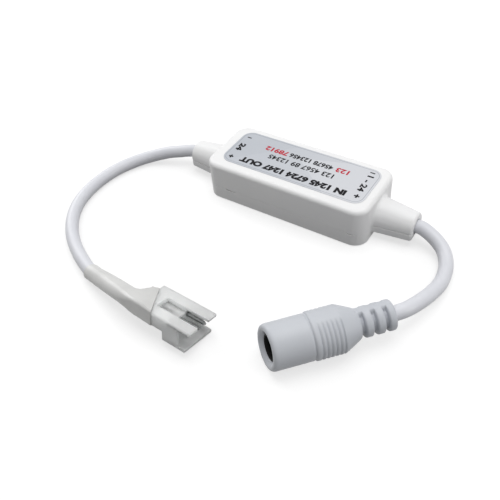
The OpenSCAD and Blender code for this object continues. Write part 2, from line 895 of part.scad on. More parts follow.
module jack_centre_pin() {
    color("gold") at_jack() along_x() rotate_extrude() polygon([
        [0, pin_setback], [pin_r * pin_nose_share, pin_setback], [pin_r, pin_setback + pin_nose],
        [pin_r, socket_depth], [pin_r + pin_shank, socket_depth],
        [pin_r + pin_shank, insert_end], [0, insert_end]
    ]);
}

// Leaf that presses on the outside of an inserted plug
module jack_spring_contact() {
    back_x = socket_depth + spring_seat;
    seat_y = socket_r + spring_slot_depth - spring_gap;
    crest_x = (spring_front_x + socket_depth) / 2;
    crest_y = socket_r - spring_bow + spring_t;
    color("silver") at_jack() translate([0, 0, -spring_w / 2]) linear_extrude(height = spring_w) polygon([
        [back_x, seat_y], [socket_depth, seat_y], [crest_x, crest_y], [spring_front_x, seat_y - spring_gap],
        [spring_front_x, seat_y - spring_gap - spring_t], [crest_x, crest_y - spring_t],
        [socket_depth, seat_y - spring_t], [back_x, seat_y - spring_t]
    ]);
}

// Moves a piece of the connector, made with its near lower edge on the x axis, to where it lies
module at_connector() {
    translate(conn_origin) rotate([-conn_roll, 0, conn_yaw]) children();
}

// The same move for a point, and for a direction
function conn_turn(p) =
    let (y = p.y * cos(conn_roll) + p.z * sin(conn_roll), z = p.z * cos(conn_roll) - p.y * sin(conn_roll))
    [p.x * cos(conn_yaw) - y * sin(conn_yaw), p.x * sin(conn_yaw) + y * cos(conn_yaw), z];
function conn_place(p) = conn_origin + conn_turn(p);

// Distance of a pin from the near side of the connector
function contact_y(i) = conn_w / 2 + i * pin_pitch;

module connector_housing() {
    color("honeydew") at_connector() difference() {
        union() {
            cube([conn_plate_l, conn_w, conn_plate_t]);
            cube([conn_front_t, conn_w, conn_h]);
            translate([-conn_rear_l, 0, conn_rear_floor]) cube([conn_rear_l, conn_w, conn_h - conn_rear_floor]);
            for (y = [0, conn_w - conn_rail_w]) translate([0, y, conn_h - conn_rail_t])
                cube([conn_rail_l, conn_rail_w, conn_rail_t]);
        }
        // Recess between the rails, for the latch of the mating half
        translate([-conn_recess_l, conn_rail_w, conn_recess_floor])
            cube([conn_recess_l + conn_rail_l + overrun, conn_w - 2 * conn_rail_w, conn_h]);
        translate([conn_latch_x, (conn_w - conn_latch_w) / 2, -overrun])
            cube([conn_latch_l, conn_latch_w, conn_plate_t + 2 * overrun]);
        for (i = [-1 : 1]) translate([0, contact_y(i), conn_pin_z]) {
            translate([-conn_rear_l - overrun, 0, 0]) along_x()
                cylinder(r = tail_d / 2 + contact_fit, h = conn_rear_l + contact_step_x + overrun);
            translate([contact_step_x - overrun, 0, 0]) along_x()
                cylinder(r = contact_d / 2 + contact_fit, h = conn_front_t - contact_step_x + 2 * overrun);
        }
    }
}

// Contact: crimped rear, round pin with a tapered nose
module connector_pin(i) {
    nose_r = contact_nose_share * contact_d / 2;
    color("silver") at_connector() translate([0, contact_y(i), conn_pin_z]) along_x() rotate_extrude() polygon([
        [0, contact_rear_x], [tail_d / 2, contact_rear_x], [tail_d / 2, contact_step_x - contact_fit],
        [contact_d / 2, contact_step_x - contact_fit], [contact_d / 2, contact_tip_x - contact_nose],
        [nose_r, contact_tip_x], [0, contact_tip_x]
    ]);
}

module connector_pin_positive() {
    connector_pin(-1);
}

module connector_pin_data() {
    connector_pin(0);
}

module connector_pin_ground() {
    connector_pin(1);
}

// Sections of the sleeve: near, far, low and high side, and for each the place of its near side
sleeve_start_section = [
    sleeve_start_mid.y - sleeve_start_r, sleeve_start_mid.y + sleeve_start_r,
    sleeve_start_mid.z - sleeve_start_r, sleeve_start_mid.z + sleeve_start_r
];
sleeve_waist_section = [
    -sleeve_wall, sleeve_waist_w,
    conn_rear_floor - sleeve_wall, conn_h + sleeve_waist_rise
];
sleeve_rim_section = [
    -sleeve_wall, conn_w - sleeve_rim_inset,
    conn_rear_floor - sleeve_wall, conn_h + sleeve_rim_rise
];
sleeve_start_x = sleeve_start_mid.x + start_skew_share * sleeve_start_r;
sleeve_waist_x = -conn_rear_l - sleeve_waist_gap;

// Ring of a section with round corners, on a plane that leans along the connector by the skew
function section_ring(x, section, r, skew) =
    let (half_w = (section[1] - section[0]) / 2, half_h = (section[3] - section[2]) / 2)
    [
        for (k = [0.5 : sleeve_sides])
        let (
            c = cos(360 * k / sleeve_sides),
            s = sin(360 * k / sleeve_sides),
            w = half_w - sign(c) * (half_w - r) - r * c,
            h = half_h + sign(s) * (half_h - r) + r * s
        )
        conn_place([x - skew * w, section[0] + w, section[2] + h])
    ];

function blend(a, b, t) = a + t * (b - a);

sleeve_rings = concat(
    [
        for (i = [0 : sleeve_steps])
        let (t = i / sleeve_steps)
        section_ring(
            blend(sleeve_start_x, sleeve_waist_x, t),
            blend(sleeve_start_section, sleeve_waist_section, 1 - pow(1 - t, sleeve_ease_share)),
            blend(sleeve_start_r, sleeve_waist_r, t * t),
            blend(start_skew_share, waist_skew_share, t)
        )
    ],
    [section_ring(-sleeve_cover, sleeve_rim_section, sleeve_rim_r, rim_skew_share)]
);

module output_sleeve() {
    pocket_x = -conn_rear_l - sleeve_floor_gap;
    color("whitesmoke") difference() {
        ring_skin(sleeve_rings);
        at_connector() {
            // Pocket for the rear of the connector
            translate([pocket_x, -sleeve_gap, conn_rear_floor - sleeve_gap])
                cube([conn_rear_l, conn_w, conn_h - conn_rear_floor + 2 * sleeve_gap]);
            for (i = [-1 : 1]) tail_rod(i, tail_d / 2 + contact_fit);
        }
    }
}

// Rod in the line of one pin, from inside the sleeve to inside the connector
module tail_rod(i, r) {
    translate([-conn_rear_l - tail_seat, contact_y(i), conn_pin_z]) along_x()
        cylinder(r = r, h = tail_seat + tail_depth);
}

// Wire from the sleeve into its hole in the rear of the connector
module tail_wire(i) {
    color("white") at_connector() tail_rod(i, tail_d / 2);
}

module tail_wire_positive() {
    tail_wire(-1);
}

module tail_wire_data() {
    tail_wire(0);
}

module tail_wire_ground() {
    tail_wire(1);
}

upper_shell();
lower_shell();
label();
circuit_board();
control_chip();
radio_chip();
crystal();
voltage_regulator();
input_capacitor();
protection_diode();
driver_transistor();
ceramic_capacitors();
resistors();
antenna_wire();
input_wire_positive();
input_wire_negative();
output_wire_positive();
output_wire_data();
output_wire_ground();
solder_joints();
input_cord_entry();
output_cord_entry();
input_cord();
output_cord();
jack_body();
jack_insert();
jack_centre_pin();
jack_spring_contact();
output_sleeve();
tail_wire_positive();
tail_wire_data();
tail_wire_ground();
connector_housing();
connector_pin_positive();
connector_pin_data();
connector_pin_ground();
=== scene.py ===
"""Looks of an in-line controller for LED strips: housing, cords, power jack, connector and board.

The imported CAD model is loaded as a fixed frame. Every finished piece lies in that frame, in metres.
The sizes below are in millimetres and the angles in degrees, where nothing else is said.
"""

import json
import logging
import math
from dataclasses import astuple, dataclass, replace
from enum import Enum
from typing import Any, Callable, Sequence

import bmesh
import bpy
from mathutils import Matrix, Vector

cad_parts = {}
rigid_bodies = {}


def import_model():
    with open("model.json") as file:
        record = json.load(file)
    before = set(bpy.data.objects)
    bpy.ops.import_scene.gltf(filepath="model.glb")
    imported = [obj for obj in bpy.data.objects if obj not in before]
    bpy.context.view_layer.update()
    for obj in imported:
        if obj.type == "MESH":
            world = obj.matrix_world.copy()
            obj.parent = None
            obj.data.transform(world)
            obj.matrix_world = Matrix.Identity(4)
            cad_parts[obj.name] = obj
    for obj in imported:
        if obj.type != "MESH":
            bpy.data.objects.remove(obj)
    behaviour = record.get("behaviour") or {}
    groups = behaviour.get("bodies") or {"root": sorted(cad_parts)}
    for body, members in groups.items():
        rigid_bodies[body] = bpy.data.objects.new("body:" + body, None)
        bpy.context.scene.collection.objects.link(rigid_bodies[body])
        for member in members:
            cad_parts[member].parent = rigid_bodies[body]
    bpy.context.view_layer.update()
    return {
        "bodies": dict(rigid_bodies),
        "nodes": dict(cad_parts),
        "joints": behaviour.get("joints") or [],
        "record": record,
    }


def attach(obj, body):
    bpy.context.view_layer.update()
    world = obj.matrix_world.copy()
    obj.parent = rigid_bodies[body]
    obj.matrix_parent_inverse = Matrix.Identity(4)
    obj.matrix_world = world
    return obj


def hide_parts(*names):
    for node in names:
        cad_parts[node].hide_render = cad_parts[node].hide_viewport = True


Point = tuple[float, float, float]
Colour = tuple[float, float, float]
Pairs = tuple[tuple[float, float], ...]

MM = 0.001
BODY = "root"
# The frame brings plain materials named after the slots, so the finishes have names of their own.
LOOK = "look_"
log = logging.getLogger("controller")


# ---------------------------------------------------------------- shader toolkit


class Value:
    """An output socket that can be used in Python sums, products and comparisons."""

    def __init__(self, graph: "Graph", socket: bpy.types.NodeSocket | None) -> None:
        """Keeps the graph and its socket, which is None for a node without outputs."""
        self.graph = graph
        self.socket = socket

    def maths(self, operation: str, first: Any, second: Any) -> "Value":
        """Adds a Math node on two numbers or values."""
        return self.graph.node("ShaderNodeMath", {"operation": operation}, {0: first, 1: second})

    def __add__(self, other: Any) -> "Value":
        """Returns self + other."""
        return self.maths("ADD", self, other)

    def __radd__(self, other: Any) -> "Value":
        """Returns other + self."""
        return self.maths("ADD", other, self)

    def __sub__(self, other: Any) -> "Value":
        """Returns self - other."""
        return self.maths("SUBTRACT", self, other)

    def __rsub__(self, other: Any) -> "Value":
        """Returns other - self."""
        return self.maths("SUBTRACT", other, self)

    def __mul__(self, other: Any) -> "Value":
        """Returns self * other."""
        return self.maths("MULTIPLY", self, other)

    def __rmul__(self, other: Any) -> "Value":
        """Returns other * self."""
        return self.maths("MULTIPLY", other, self)

    def __truediv__(self, other: Any) -> "Value":
        """Returns self / other."""
        return self.maths("DIVIDE", self, other)

    def __rtruediv__(self, other: Any) -> "Value":
        """Returns other / self."""
        return self.maths("DIVIDE", other, self)

    def __pow__(self, other: Any) -> "Value":
        """Returns self to the power of other."""
        return self.maths("POWER", self, other)

    def __abs__(self) -> "Value":
        """Returns the size of the value without its sign."""
        return self.maths("ABSOLUTE", self, 0.0)

    def above(self, edge: Any) -> "Value":
        """Returns 1 where the value is above edge, else 0."""
        return self.maths("GREATER_THAN", self, edge)

    def below(self, edge: Any) -> "Value":
        """Returns 1 where the value is below edge, else 0."""
        return self.maths("LESS_THAN", self, edge)

    def least(self, other: Any) -> "Value":
        """Returns the smaller of the two values."""
        return self.maths("MINIMUM", self, other)

    def most(self, other: Any) -> "Value":
        """Returns the larger of the two values."""
        return self.maths("MAXIMUM", self, other)

    def wave(self) -> "Value":
        """Returns the sine of the value."""
        return self.maths("SINE", self, 0.0)

    def ramp(self, low: float, high: float) -> "Value":
        """Maps the range low..high to 0..1 smoothly, and holds the ends."""
        return self.graph.node(
            "ShaderNodeMapRange",
            {"interpolation_type": "SMOOTHSTEP"},
            {"Value": self, "From Min": low, "From Max": high},
        )


class Graph:
    """The node graph of one material or of the world."""

    def __init__(self, owner: bpy.types.Material | bpy.types.World) -> None:
        """Empties the graph of what owns it."""
        self.owner = owner
        self.owner.use_nodes = True
        self.tree = self.owner.node_tree
        self.tree.nodes.clear()

    @classmethod
    def of_material(cls, name: str) -> "Graph":
        """Returns the graph of a new material."""
        return cls(bpy.data.materials.new(LOOK + name))

    def node(
        self,
        kind: str,
        settings: dict[str, Any] | None = None,
        inputs: dict[str | int, Any] | None = None,
        output: str | int = 0,
    ) -> Value:
        """Adds a node.

        Args:
            kind: The node's type, such as ShaderNodeTexNoise.
            settings: Its own settings, set first.
            inputs: Values, or links from other nodes, for its sockets by name or number.
            output: The socket that is returned.

        Returns:
            The chosen output socket, wrapped.
        """
        made = self.tree.nodes.new(kind)
        for key, setting in (settings or {}).items():
            setattr(made, key, setting)
        for key, given in (inputs or {}).items():
            if isinstance(given, Value):
                self.tree.links.new(given.socket, made.inputs[key])
            else:
                made.inputs[key].default_value = self.fitted(made.inputs[key], given)
        return Value(self, made.outputs[output] if len(made.outputs) else None)

    @staticmethod
    def fitted(socket: bpy.types.NodeSocket, given: Any) -> Any:
        """Returns a constant in the form that the socket takes."""
        if socket.type == "RGBA" and len(given) == 3:
            return (*given, 1.0)
        return given

    def place(self, scale: Point = (1.0, 1.0, 1.0), turn: Point = (0.0, 0.0, 0.0)) -> Value:
        """Returns the object coordinates, scaled and turned."""
        coordinates = self.node("ShaderNodeTexCoord", output="Object")
        inputs = {"Vector": coordinates, "Scale": scale, "Rotation": turn}
        return self.node("ShaderNodeMapping", inputs=inputs)

    def axes(self, where: Value) -> tuple[Value, Value, Value]:
        """Returns the three numbers of a vector."""
        split = self.node("ShaderNodeSeparateXYZ", inputs={"Vector": where})
        outputs = split.socket.node.outputs
        return Value(self, outputs[0]), Value(self, outputs[1]), Value(self, outputs[2])

    def noise(self, where: Value, scale: float, detail: float, roughness: float) -> Value:
        """Returns a noise pattern from 0 to 1."""
        inputs = {"Vector": where, "Scale": scale, "Detail": detail, "Roughness": roughness}
        return self.node("ShaderNodeTexNoise", inputs=inputs)

    def mix(self, share: Any, first: Any, second: Any) -> Value:
        """Returns a colour between first and second."""
        return self.node(
            "ShaderNodeMix",
            {"data_type": "RGBA", "clamp_factor": True},
            {0: share, 6: first, 7: second},
            output=2,
        )

    def bump(self, height: Value, strength: float, distance: float, under: Value | None) -> Value:
        """Returns a normal bent by a height pattern, on top of another one if that is given."""
        inputs = {"Height": height, "Strength": strength, "Distance": distance}
        if under is not None:
            inputs["Normal"] = under
        return self.node("ShaderNodeBump", inputs=inputs)

    def shown(self) -> Value:
        """Returns 1 for rays from the camera, straight, mirrored or let through, else 0."""
        outputs = self.node("ShaderNodeLightPath").socket.node.outputs
        seen, glossy, through = (
            Value(self, outputs[f"Is {kind} Ray"]) for kind in ("Camera", "Glossy", "Transmission")
        )
        return seen.most(glossy).most(through)

    def surface(self, **sockets: Any) -> bpy.types.Material:
        """Ends the graph in a Principled shader.

        Args:
            sockets: Its inputs, with underscores for the spaces in their names.

        Returns:
            The finished material.
        """
        inputs = {key.replace("_", " "): given for key, given in sockets.items()}
        shader = self.node("ShaderNodeBsdfPrincipled", inputs=inputs)
        self.node("ShaderNodeOutputMaterial", inputs={"Surface": shader})
        return self.owner


# ---------------------------------------------------------------- finishes


@dataclass(frozen=True)
class Layer:
    """One layer of noise over a surface, stretched and turned.

    The span is the range of the noise that is drawn out to the whole of 0 to 1. The strength, and
    the depth in metres, say how far the layer stands out of the surface.
    """

    scale: float
    detail: float = 2.0
    rough: float = 0.5
    stretch: Point = (1.0, 1.0, 1.0)
    turn: Point = (0.0, 0.0, 0.0)
    span: tuple[float, float] | None = None
    strength: float = 0.0
    depth: float = 0.0

    def value(self, graph: Graph) -> Value:
        """Returns the layer's pattern, from 0 to 1."""
        where = graph.place(self.stretch, self.turn)
        noise = graph.noise(where, self.scale, self.detail, self.rough)
        return noise if self.span is None else noise.ramp(*self.span)

    def relief(self, pattern: Value, under: Value | None = None) -> Value:
        """Returns a normal bent by the layer's pattern, on top of another one if that is given."""
        return pattern.graph.bump(pattern, self.strength, self.depth, under)


@dataclass(frozen=True)
class Surface:
    """What most finishes share: two colours and a gloss that drift with a cloud, and fine reliefs.

    The reliefs lie on top of each other, on the cloud's own one where that has a depth.
    """

    name: str
    colour: Colour
    shade: Colour
    roughness: float = 0.4
    ior: float = 1.5
    cloud: Layer = Layer(60.0, 3.0)
    drift: tuple[float, float] = (0.3, 0.7)
    gloss_drift: float = 0.2
    reliefs: tuple[Layer, ...] = ()

    def material(self) -> bpy.types.Material:
        """Returns the finish as a Blender material."""
        graph = Graph.of_material(self.name)
        return graph.surface(**self.sockets(graph))

    def sockets(self, graph: Graph) -> dict[str, Any]:
        """Returns what goes into the sockets of the shader, by their names."""
        cloud = self.cloud.value(graph)
        normal = self.cloud.relief(cloud) if self.cloud.depth else None
        for layer in self.reliefs:
            normal = layer.relief(layer.value(graph), normal)
        return {
            "Base_Color": self.tint(graph, cloud),
            "Roughness": self.roughness + (cloud - 0.5) * self.gloss_drift,
            "Normal": normal,
            "IOR": self.ior,
        }

    def tint(self, graph: Graph, cloud: Value) -> Value:
        """Returns the colour of the surface."""
        return graph.mix(cloud.ramp(*self.drift), self.colour, self.shade)


def under_light(weight: float, depth: float) -> dict[str, Any]:
    """Returns the sockets that spread light evenly under a surface, as deep as given in metres."""
    return {
        "Subsurface_Weight": weight,
        "Subsurface_Radius": (1.0, 1.0, 1.0),
        "Subsurface_Scale": depth,
    }


@dataclass(frozen=True)
class MouldedPlastic(Surface):
    """Opaque moulded plastic: a fine spark-eroded grain, a slight drift in colour, faint specks."""

    ior: float = 1.46
    cloud: Layer = Layer(60.0, 3.0, strength=0.12, depth=0.0002)
    gloss_drift: float = 0.08
    grain: float = 2600.0
    texture: Layer = Layer(2600.0, 3.0, 0.6, strength=0.35, depth=0.00002)
    grain_gloss: float = 0.12
    speck: Layer = Layer(900.0, span=(0.7, 0.8))
    speck_share: float = 0.06
    speck_shade: float = 0.6
    glow: float = 0.0
    glow_depth: float = 0.0008

    def sockets(self, graph: Graph) -> dict[str, Any]:
        """Returns what goes into the sockets of the shader, by their names."""
        base = super().sockets(graph)
        grain = replace(self.texture, scale=self.grain).value(graph)
        return {
            **base,
            **under_light(self.glow, self.glow_depth),
            "Roughness": base["Roughness"] + (grain - 0.5) * self.grain_gloss,
            "Normal": self.texture.relief(grain, base["Normal"]),
        }

    def tint(self, graph: Graph, cloud: Value) -> Value:
        """Returns the colour of the surface, with its specks."""
        speck = self.speck.value(graph) * self.speck_share
        speck_colour = tuple(self.speck_shade * part for part in self.shade)
        return graph.mix(speck, super().tint(graph, cloud), speck_colour)


@dataclass(frozen=True)
class CordJacket(Surface):
    """Extruded vinyl jacket: smooth, faintly waxy, with shallow handling marks."""

    cloud: Layer = Layer(110.0, 3.0)
    drift: tuple[float, float] = (0.25, 0.75)
    gloss_drift: float = 0.14
    reliefs: tuple[Layer, ...] = (
        Layer(420.0, span=(0.55, 0.8), strength=0.15, depth=0.00008),
        Layer(3200.0, strength=0.2, depth=0.00001),
    )


@dataclass(frozen=True)
class ShrunkTube(Surface):
    """Heat-shrunk white tube: satin, with fine creases that run along it."""

    roughness: float = 0.36
    cloud: Layer = Layer(170.0, 3.0, strength=0.3, depth=0.0003)
    reliefs: tuple[Layer, ...] = (
        Layer(1500.0, 3.0, 0.55, (0.2, 1.0, 1.0), (0.0, 0.0, 0.12), strength=0.4, depth=0.00006),
    )


@dataclass(frozen=True)
class MilkyNylon(Surface):
    """Natural nylon that lets some light through, with flow marks from the mould."""

    roughness: float = 0.34
    cloud: Layer = Layer(240.0, 4.0, 0.6)
    gloss_drift: float = 0.16
    reliefs: tuple[Layer, ...] = (
        Layer(900.0, stretch=(1.0, 0.25, 1.0), strength=0.25, depth=0.00003),
    )
    clear: float = 0.1
    glow: float = 0.9
    glow_depth: float = 0.004

    def sockets(self, graph: Graph) -> dict[str, Any]:
        """Returns what goes into the sockets of the shader, by their names."""
        glow = under_light(self.glow, self.glow_depth)
        return {**super().sockets(graph), **glow, "Transmission_Weight": self.clear}


@dataclass(frozen=True)
class Metal(Surface):
    """Bare or plated metal with a little tarnish, and fine marks that run across its stretch."""

    cloud: Layer = Layer(700.0, 4.0, 0.65)
    drift: tuple[float, float] = (0.45, 0.75)
    marks: Layer = Layer(4200.0, strength=0.2, depth=0.00001)
    stretch: Point = (1.0, 1.0, 1.0)

    def sockets(self, graph: Graph) -> dict[str, Any]:
        """Returns what goes into the sockets of the shader, by their names."""
        marks = replace(self.marks, stretch=self.stretch).value(graph)
        return {**super().sockets(graph), "Metallic": 1.0, "Normal": self.marks.relief(marks)}


@dataclass(frozen=True)
class SolderMask(Surface):
    """Green lacquer over fibreglass: the weave shows faintly, and the copper areas read lighter."""

    roughness: float = 0.3
    coat: float = 0.4
    weave: Layer = Layer(5200.0, span=(-0.6, 0.6), strength=0.12, depth=0.00001)
    weave_gloss: float = 0.08
    copper: Layer = Layer(260.0, 1.0, span=(0.48, 0.52), strength=0.3, depth=0.00002)
    copper_share: float = 0.5

    def sockets(self, graph: Graph) -> dict[str, Any]:
        """Returns what goes into the sockets of the shader, by their names."""
        x, y, _ = graph.axes(graph.place())
        threads = (x * self.weave.scale).wave() * (y * self.weave.scale).wave()
        weave = threads.ramp(*self.weave.span)
        copper = self.copper.value(graph)
        return {
            "Base_Color": graph.mix(copper * self.copper_share, self.colour, self.shade),
            "Roughness": self.roughness + weave * self.weave_gloss,
            "Normal": self.copper.relief(copper, self.weave.relief(weave)),
            "Coat_Weight": self.coat,
        }


@dataclass(frozen=True)
class FoilLabel(Surface):
    """Silver-grey foil label: a painted reflection whose tone drifts along it, faint facets of
    painted sheen and painted shade, and a thin dark printed border.

    The reach of the painted reflection's drift is in metres, and so is the edge that follows the
    slope of each side of a painted facet.
    """

    roughness: float = 0.38
    metallic: float = 0.1
    cloud: Layer = Layer(130.0, 3.0)
    gloss_drift: float = 0.12
    reliefs: tuple[Layer, ...] = (Layer(2400.0, strength=0.15, depth=0.00001),)
    length: float = 43.9
    width: float = 15.1
    corner: float = 3.0
    middle: tuple[float, float] = (0.5, 0.4)
    # How far the painted reflection drifts along the label, in metres.
    painted_reflection_reach: float = 0.022
    # Painted sheen and painted shade: a lighter wedge and a darker patch that stand in for light
    # mirrored by the foil.
    painted_sheen_colour: Colour = (0.74, 0.75, 0.78)
    painted_sheen_share: float = 0.3
    painted_sheen_sides: Pairs = ((0.8, 0.002), (0.3, -0.0035))
    painted_shade_colour: Colour = (0.42, 0.45, 0.49)
    painted_shade_share: float = 0.25
    painted_shade_side: tuple[float, float] = (-0.9, 0.011)
    haze_colour: Colour = (0.6, 0.61, 0.63)
    haze_share: float = 0.15
    haze_span: tuple[float, float] = (0.4, 0.8)
    border_colour: Colour = (0.16, 0.18, 0.22)
    border_share: float = 0.55
    border_inset: float = 0.55
    border_width: float = 0.16

    def sockets(self, graph: Graph) -> dict[str, Any]:
        """Returns what goes into the sockets of the shader, by their names."""
        return {**super().sockets(graph), "Metallic": self.metallic}

    def tint(self, graph: Graph, cloud: Value) -> Value:
        """Returns the colour, with painted reflection, sheen and shade, and its haze and border."""
        x, y, _ = graph.axes(graph.place())
        # Masks of the painted sheen wedge and of the painted shade patch.
        (rise, rise_edge), (fall, fall_edge) = self.painted_sheen_sides
        light = (x * rise + y).above(rise_edge) * (x * fall - y).above(fall_edge)
        dark = (x * self.painted_shade_side[0] + y).above(self.painted_shade_side[1])
        haze = cloud.ramp(*self.haze_span)
        # Painted reflection: the tone drifts from one of the foil's two colours to the other along
        # the label.
        colour = graph.mix(x.ramp(-self.painted_reflection_reach, self.painted_reflection_reach), self.colour, self.shade)
        for share, over in (
            (light * self.painted_sheen_share, self.painted_sheen_colour),
            (dark * self.painted_shade_share, self.painted_shade_colour),
            (haze * self.haze_share, self.haze_colour),
            (self.border(x, y) * self.border_share, self.border_colour),
        ):
            colour = graph.mix(share, colour, over)
        return colour

    def border(self, x: Value, y: Value) -> Value:
        """Returns the mask of the line printed round the label.

        Args:
            x: Place along the housing.
            y: Place across the housing.

        Returns:
            1 on the line, else 0.
        """
        across = abs(x - self.middle[0] * MM) - (self.length / 2 - self.corner) * MM
        down = abs(y - self.middle[1] * MM) - (self.width / 2 - self.corner) * MM
        corner = (across.most(0.0) ** 2.0 + down.most(0.0) ** 2.0) ** 0.5
        inside = corner + across.most(down).least(0.0) - (self.corner - self.border_inset) * MM
        return abs(inside).below(self.border_width / 2 * MM)


@dataclass(frozen=True)
class PrintInk(Surface):
    """Screen-print ink: a thin matt film with a slightly uneven cover."""

    roughness: float = 0.5
    ior: float = 1.2
    cloud: Layer = Layer(5200.0, 3.0, 0.6, strength=0.2, depth=0.00001)
    drift: tuple[float, float] = (0.62, 0.8)


class Finish(Enum):
    """The finishes: one for each material slot of the record, the inks, and the bung of the can."""

    SHELL_WHITE = MouldedPlastic("shell_white", (0.86, 0.86, 0.86), (0.83, 0.83, 0.835), glow=0.05)
    # The foil's two colours are the ends of its painted reflection, which drifts along the label.
    LABEL_SILVER = FoilLabel("label_silver", (0.50, 0.525, 0.57), (0.57, 0.585, 0.62))
    BOARD_GREEN = SolderMask("board_green", (0.012, 0.12, 0.045), (0.02, 0.16, 0.065))
    CHIP_BLACK = MouldedPlastic(
        "chip_black", (0.018, 0.018, 0.02), (0.025, 0.025, 0.027), 0.5, grain=3800.0
    )
    CAN_METAL = Metal(
        "can_metal", (0.78, 0.78, 0.77), (0.6, 0.59, 0.57), 0.24, stretch=(1.0, 12.0, 1.0)
    )
    CAPACITOR_SLEEVE = CordJacket(
        "capacitor_sleeve", (0.012, 0.02, 0.06), (0.016, 0.026, 0.075), 0.25
    )
    CERAMIC_TAN = MouldedPlastic(
        "ceramic_tan", (0.42, 0.28, 0.17), (0.38, 0.25, 0.15), 0.45, grain=5200.0
    )
    COPPER_WIRE = Metal("copper_wire", (0.72, 0.42, 0.28), (0.5, 0.28, 0.18), 0.3)
    WIRE_RED = CordJacket("wire_red", (0.55, 0.02, 0.02), (0.48, 0.015, 0.015), 0.35)
    WIRE_BLACK = CordJacket("wire_black", (0.015, 0.015, 0.016), (0.02, 0.02, 0.021), 0.35)
    WIRE_GREEN = CordJacket("wire_green", (0.02, 0.28, 0.06), (0.015, 0.24, 0.05), 0.35)
    WIRE_WHITE = CordJacket("wire_white", (0.78, 0.77, 0.73), (0.74, 0.73, 0.7), 0.35)
    SOLDER = Metal("solder", (0.7, 0.7, 0.71), (0.45, 0.45, 0.46), 0.3)
    CORD_WHITE = CordJacket("cord_white", (0.71, 0.72, 0.76), (0.68, 0.69, 0.735), 0.36)
    SLEEVE_WHITE = ShrunkTube("sleeve_white", (0.65, 0.65, 0.64), (0.59, 0.59, 0.58))
    JACK_WHITE = MouldedPlastic(
        "jack_white", (0.565, 0.585, 0.62), (0.535, 0.555, 0.595), 0.44, grain=3000.0, glow=0.05
    )
    INSERT_BLACK = MouldedPlastic(
        "insert_black", (0.004, 0.004, 0.004), (0.006, 0.006, 0.006), 0.5, ior=1.2, grain=3800.0
    )
    CONTACT_METAL = Metal(
        "contact_metal", (0.30, 0.31, 0.31), (0.14, 0.14, 0.14), 0.24, stretch=(1.0, 8.0, 8.0)
    )
    NYLON_NATURAL = MilkyNylon("nylon_natural", (0.88, 0.90, 0.89), (0.83, 0.85, 0.845))
    INK_BLACK = PrintInk("ink_black", (0.012, 0.012, 0.014), (0.05, 0.05, 0.055))
    INK_RED = PrintInk("ink_red", (0.48, 0.03, 0.05), (0.56, 0.12, 0.13))
    INK_WHITE = PrintInk("ink_white", (0.78, 0.78, 0.76), (0.6, 0.62, 0.6))
    BUNG_BLACK = MouldedPlastic(
        "bung_black", (0.02, 0.02, 0.02), (0.03, 0.03, 0.03), 0.65, grain=4200.0
    )

    def material(self) -> bpy.types.Material:
        """Returns the finish's material, made at its first use."""
        made = bpy.data.materials.get(LOOK + self.value.name)
        return made if made is not None else self.value.material()


# ---------------------------------------------------------------- shared making of pieces

FLAT_ANGLE = 0.6
UNION_FLAT_ANGLE = 0.5
SMOOTH_BELOW = 38.0
MERGE_WITHIN = 0.0005
# A normal that faces an axis has more than this along it.
FACING = 0.9

EdgeTest = Callable[[bmesh.types.BMEdge], bool]
FacePaint = Callable[[Vector, Vector], int]


def held(share: float) -> float:
    """Returns a share held between 0 and 1."""
    return min(max(share, 0.0), 1.0)


def smooth_step(share: float) -> float:
    """Returns a share held between 0 and 1, with soft ends."""
    return held(share) ** 2 * (3.0 - 2.0 * held(share))


def is_convex(edge: bmesh.types.BMEdge) -> bool:
    """Returns whether an edge sticks out."""
    return edge.is_convex


def show(name: str, data: bpy.types.ID) -> bpy.types.Object:
    """Returns a new object of the scene."""
    made = bpy.data.objects.new(name, data)
    bpy.context.scene.collection.objects.link(made)
    return made


def evaluated_mesh(made: bpy.types.Object) -> bpy.types.Mesh:
    """Returns what an object becomes through its modifiers, as a mesh."""
    graph = bpy.context.evaluated_depsgraph_get()
    return bpy.data.meshes.new_from_object(made.evaluated_get(graph))


def add_piece(name: str, data: bpy.types.ID, finishes: Sequence[Finish]) -> bpy.types.Object:
    """Links a new piece to the scene and lets it ride with the object.

    Args:
        name: The piece's name.
        data: Its mesh or curve, already in the object's frame.
        finishes: What it is dressed in, in the order of its material slots.

    Returns:
        The new object.
    """
    piece = show(name, data)
    for finish in finishes:
        data.materials.append(finish.material())
    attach(piece, BODY)
    return piece


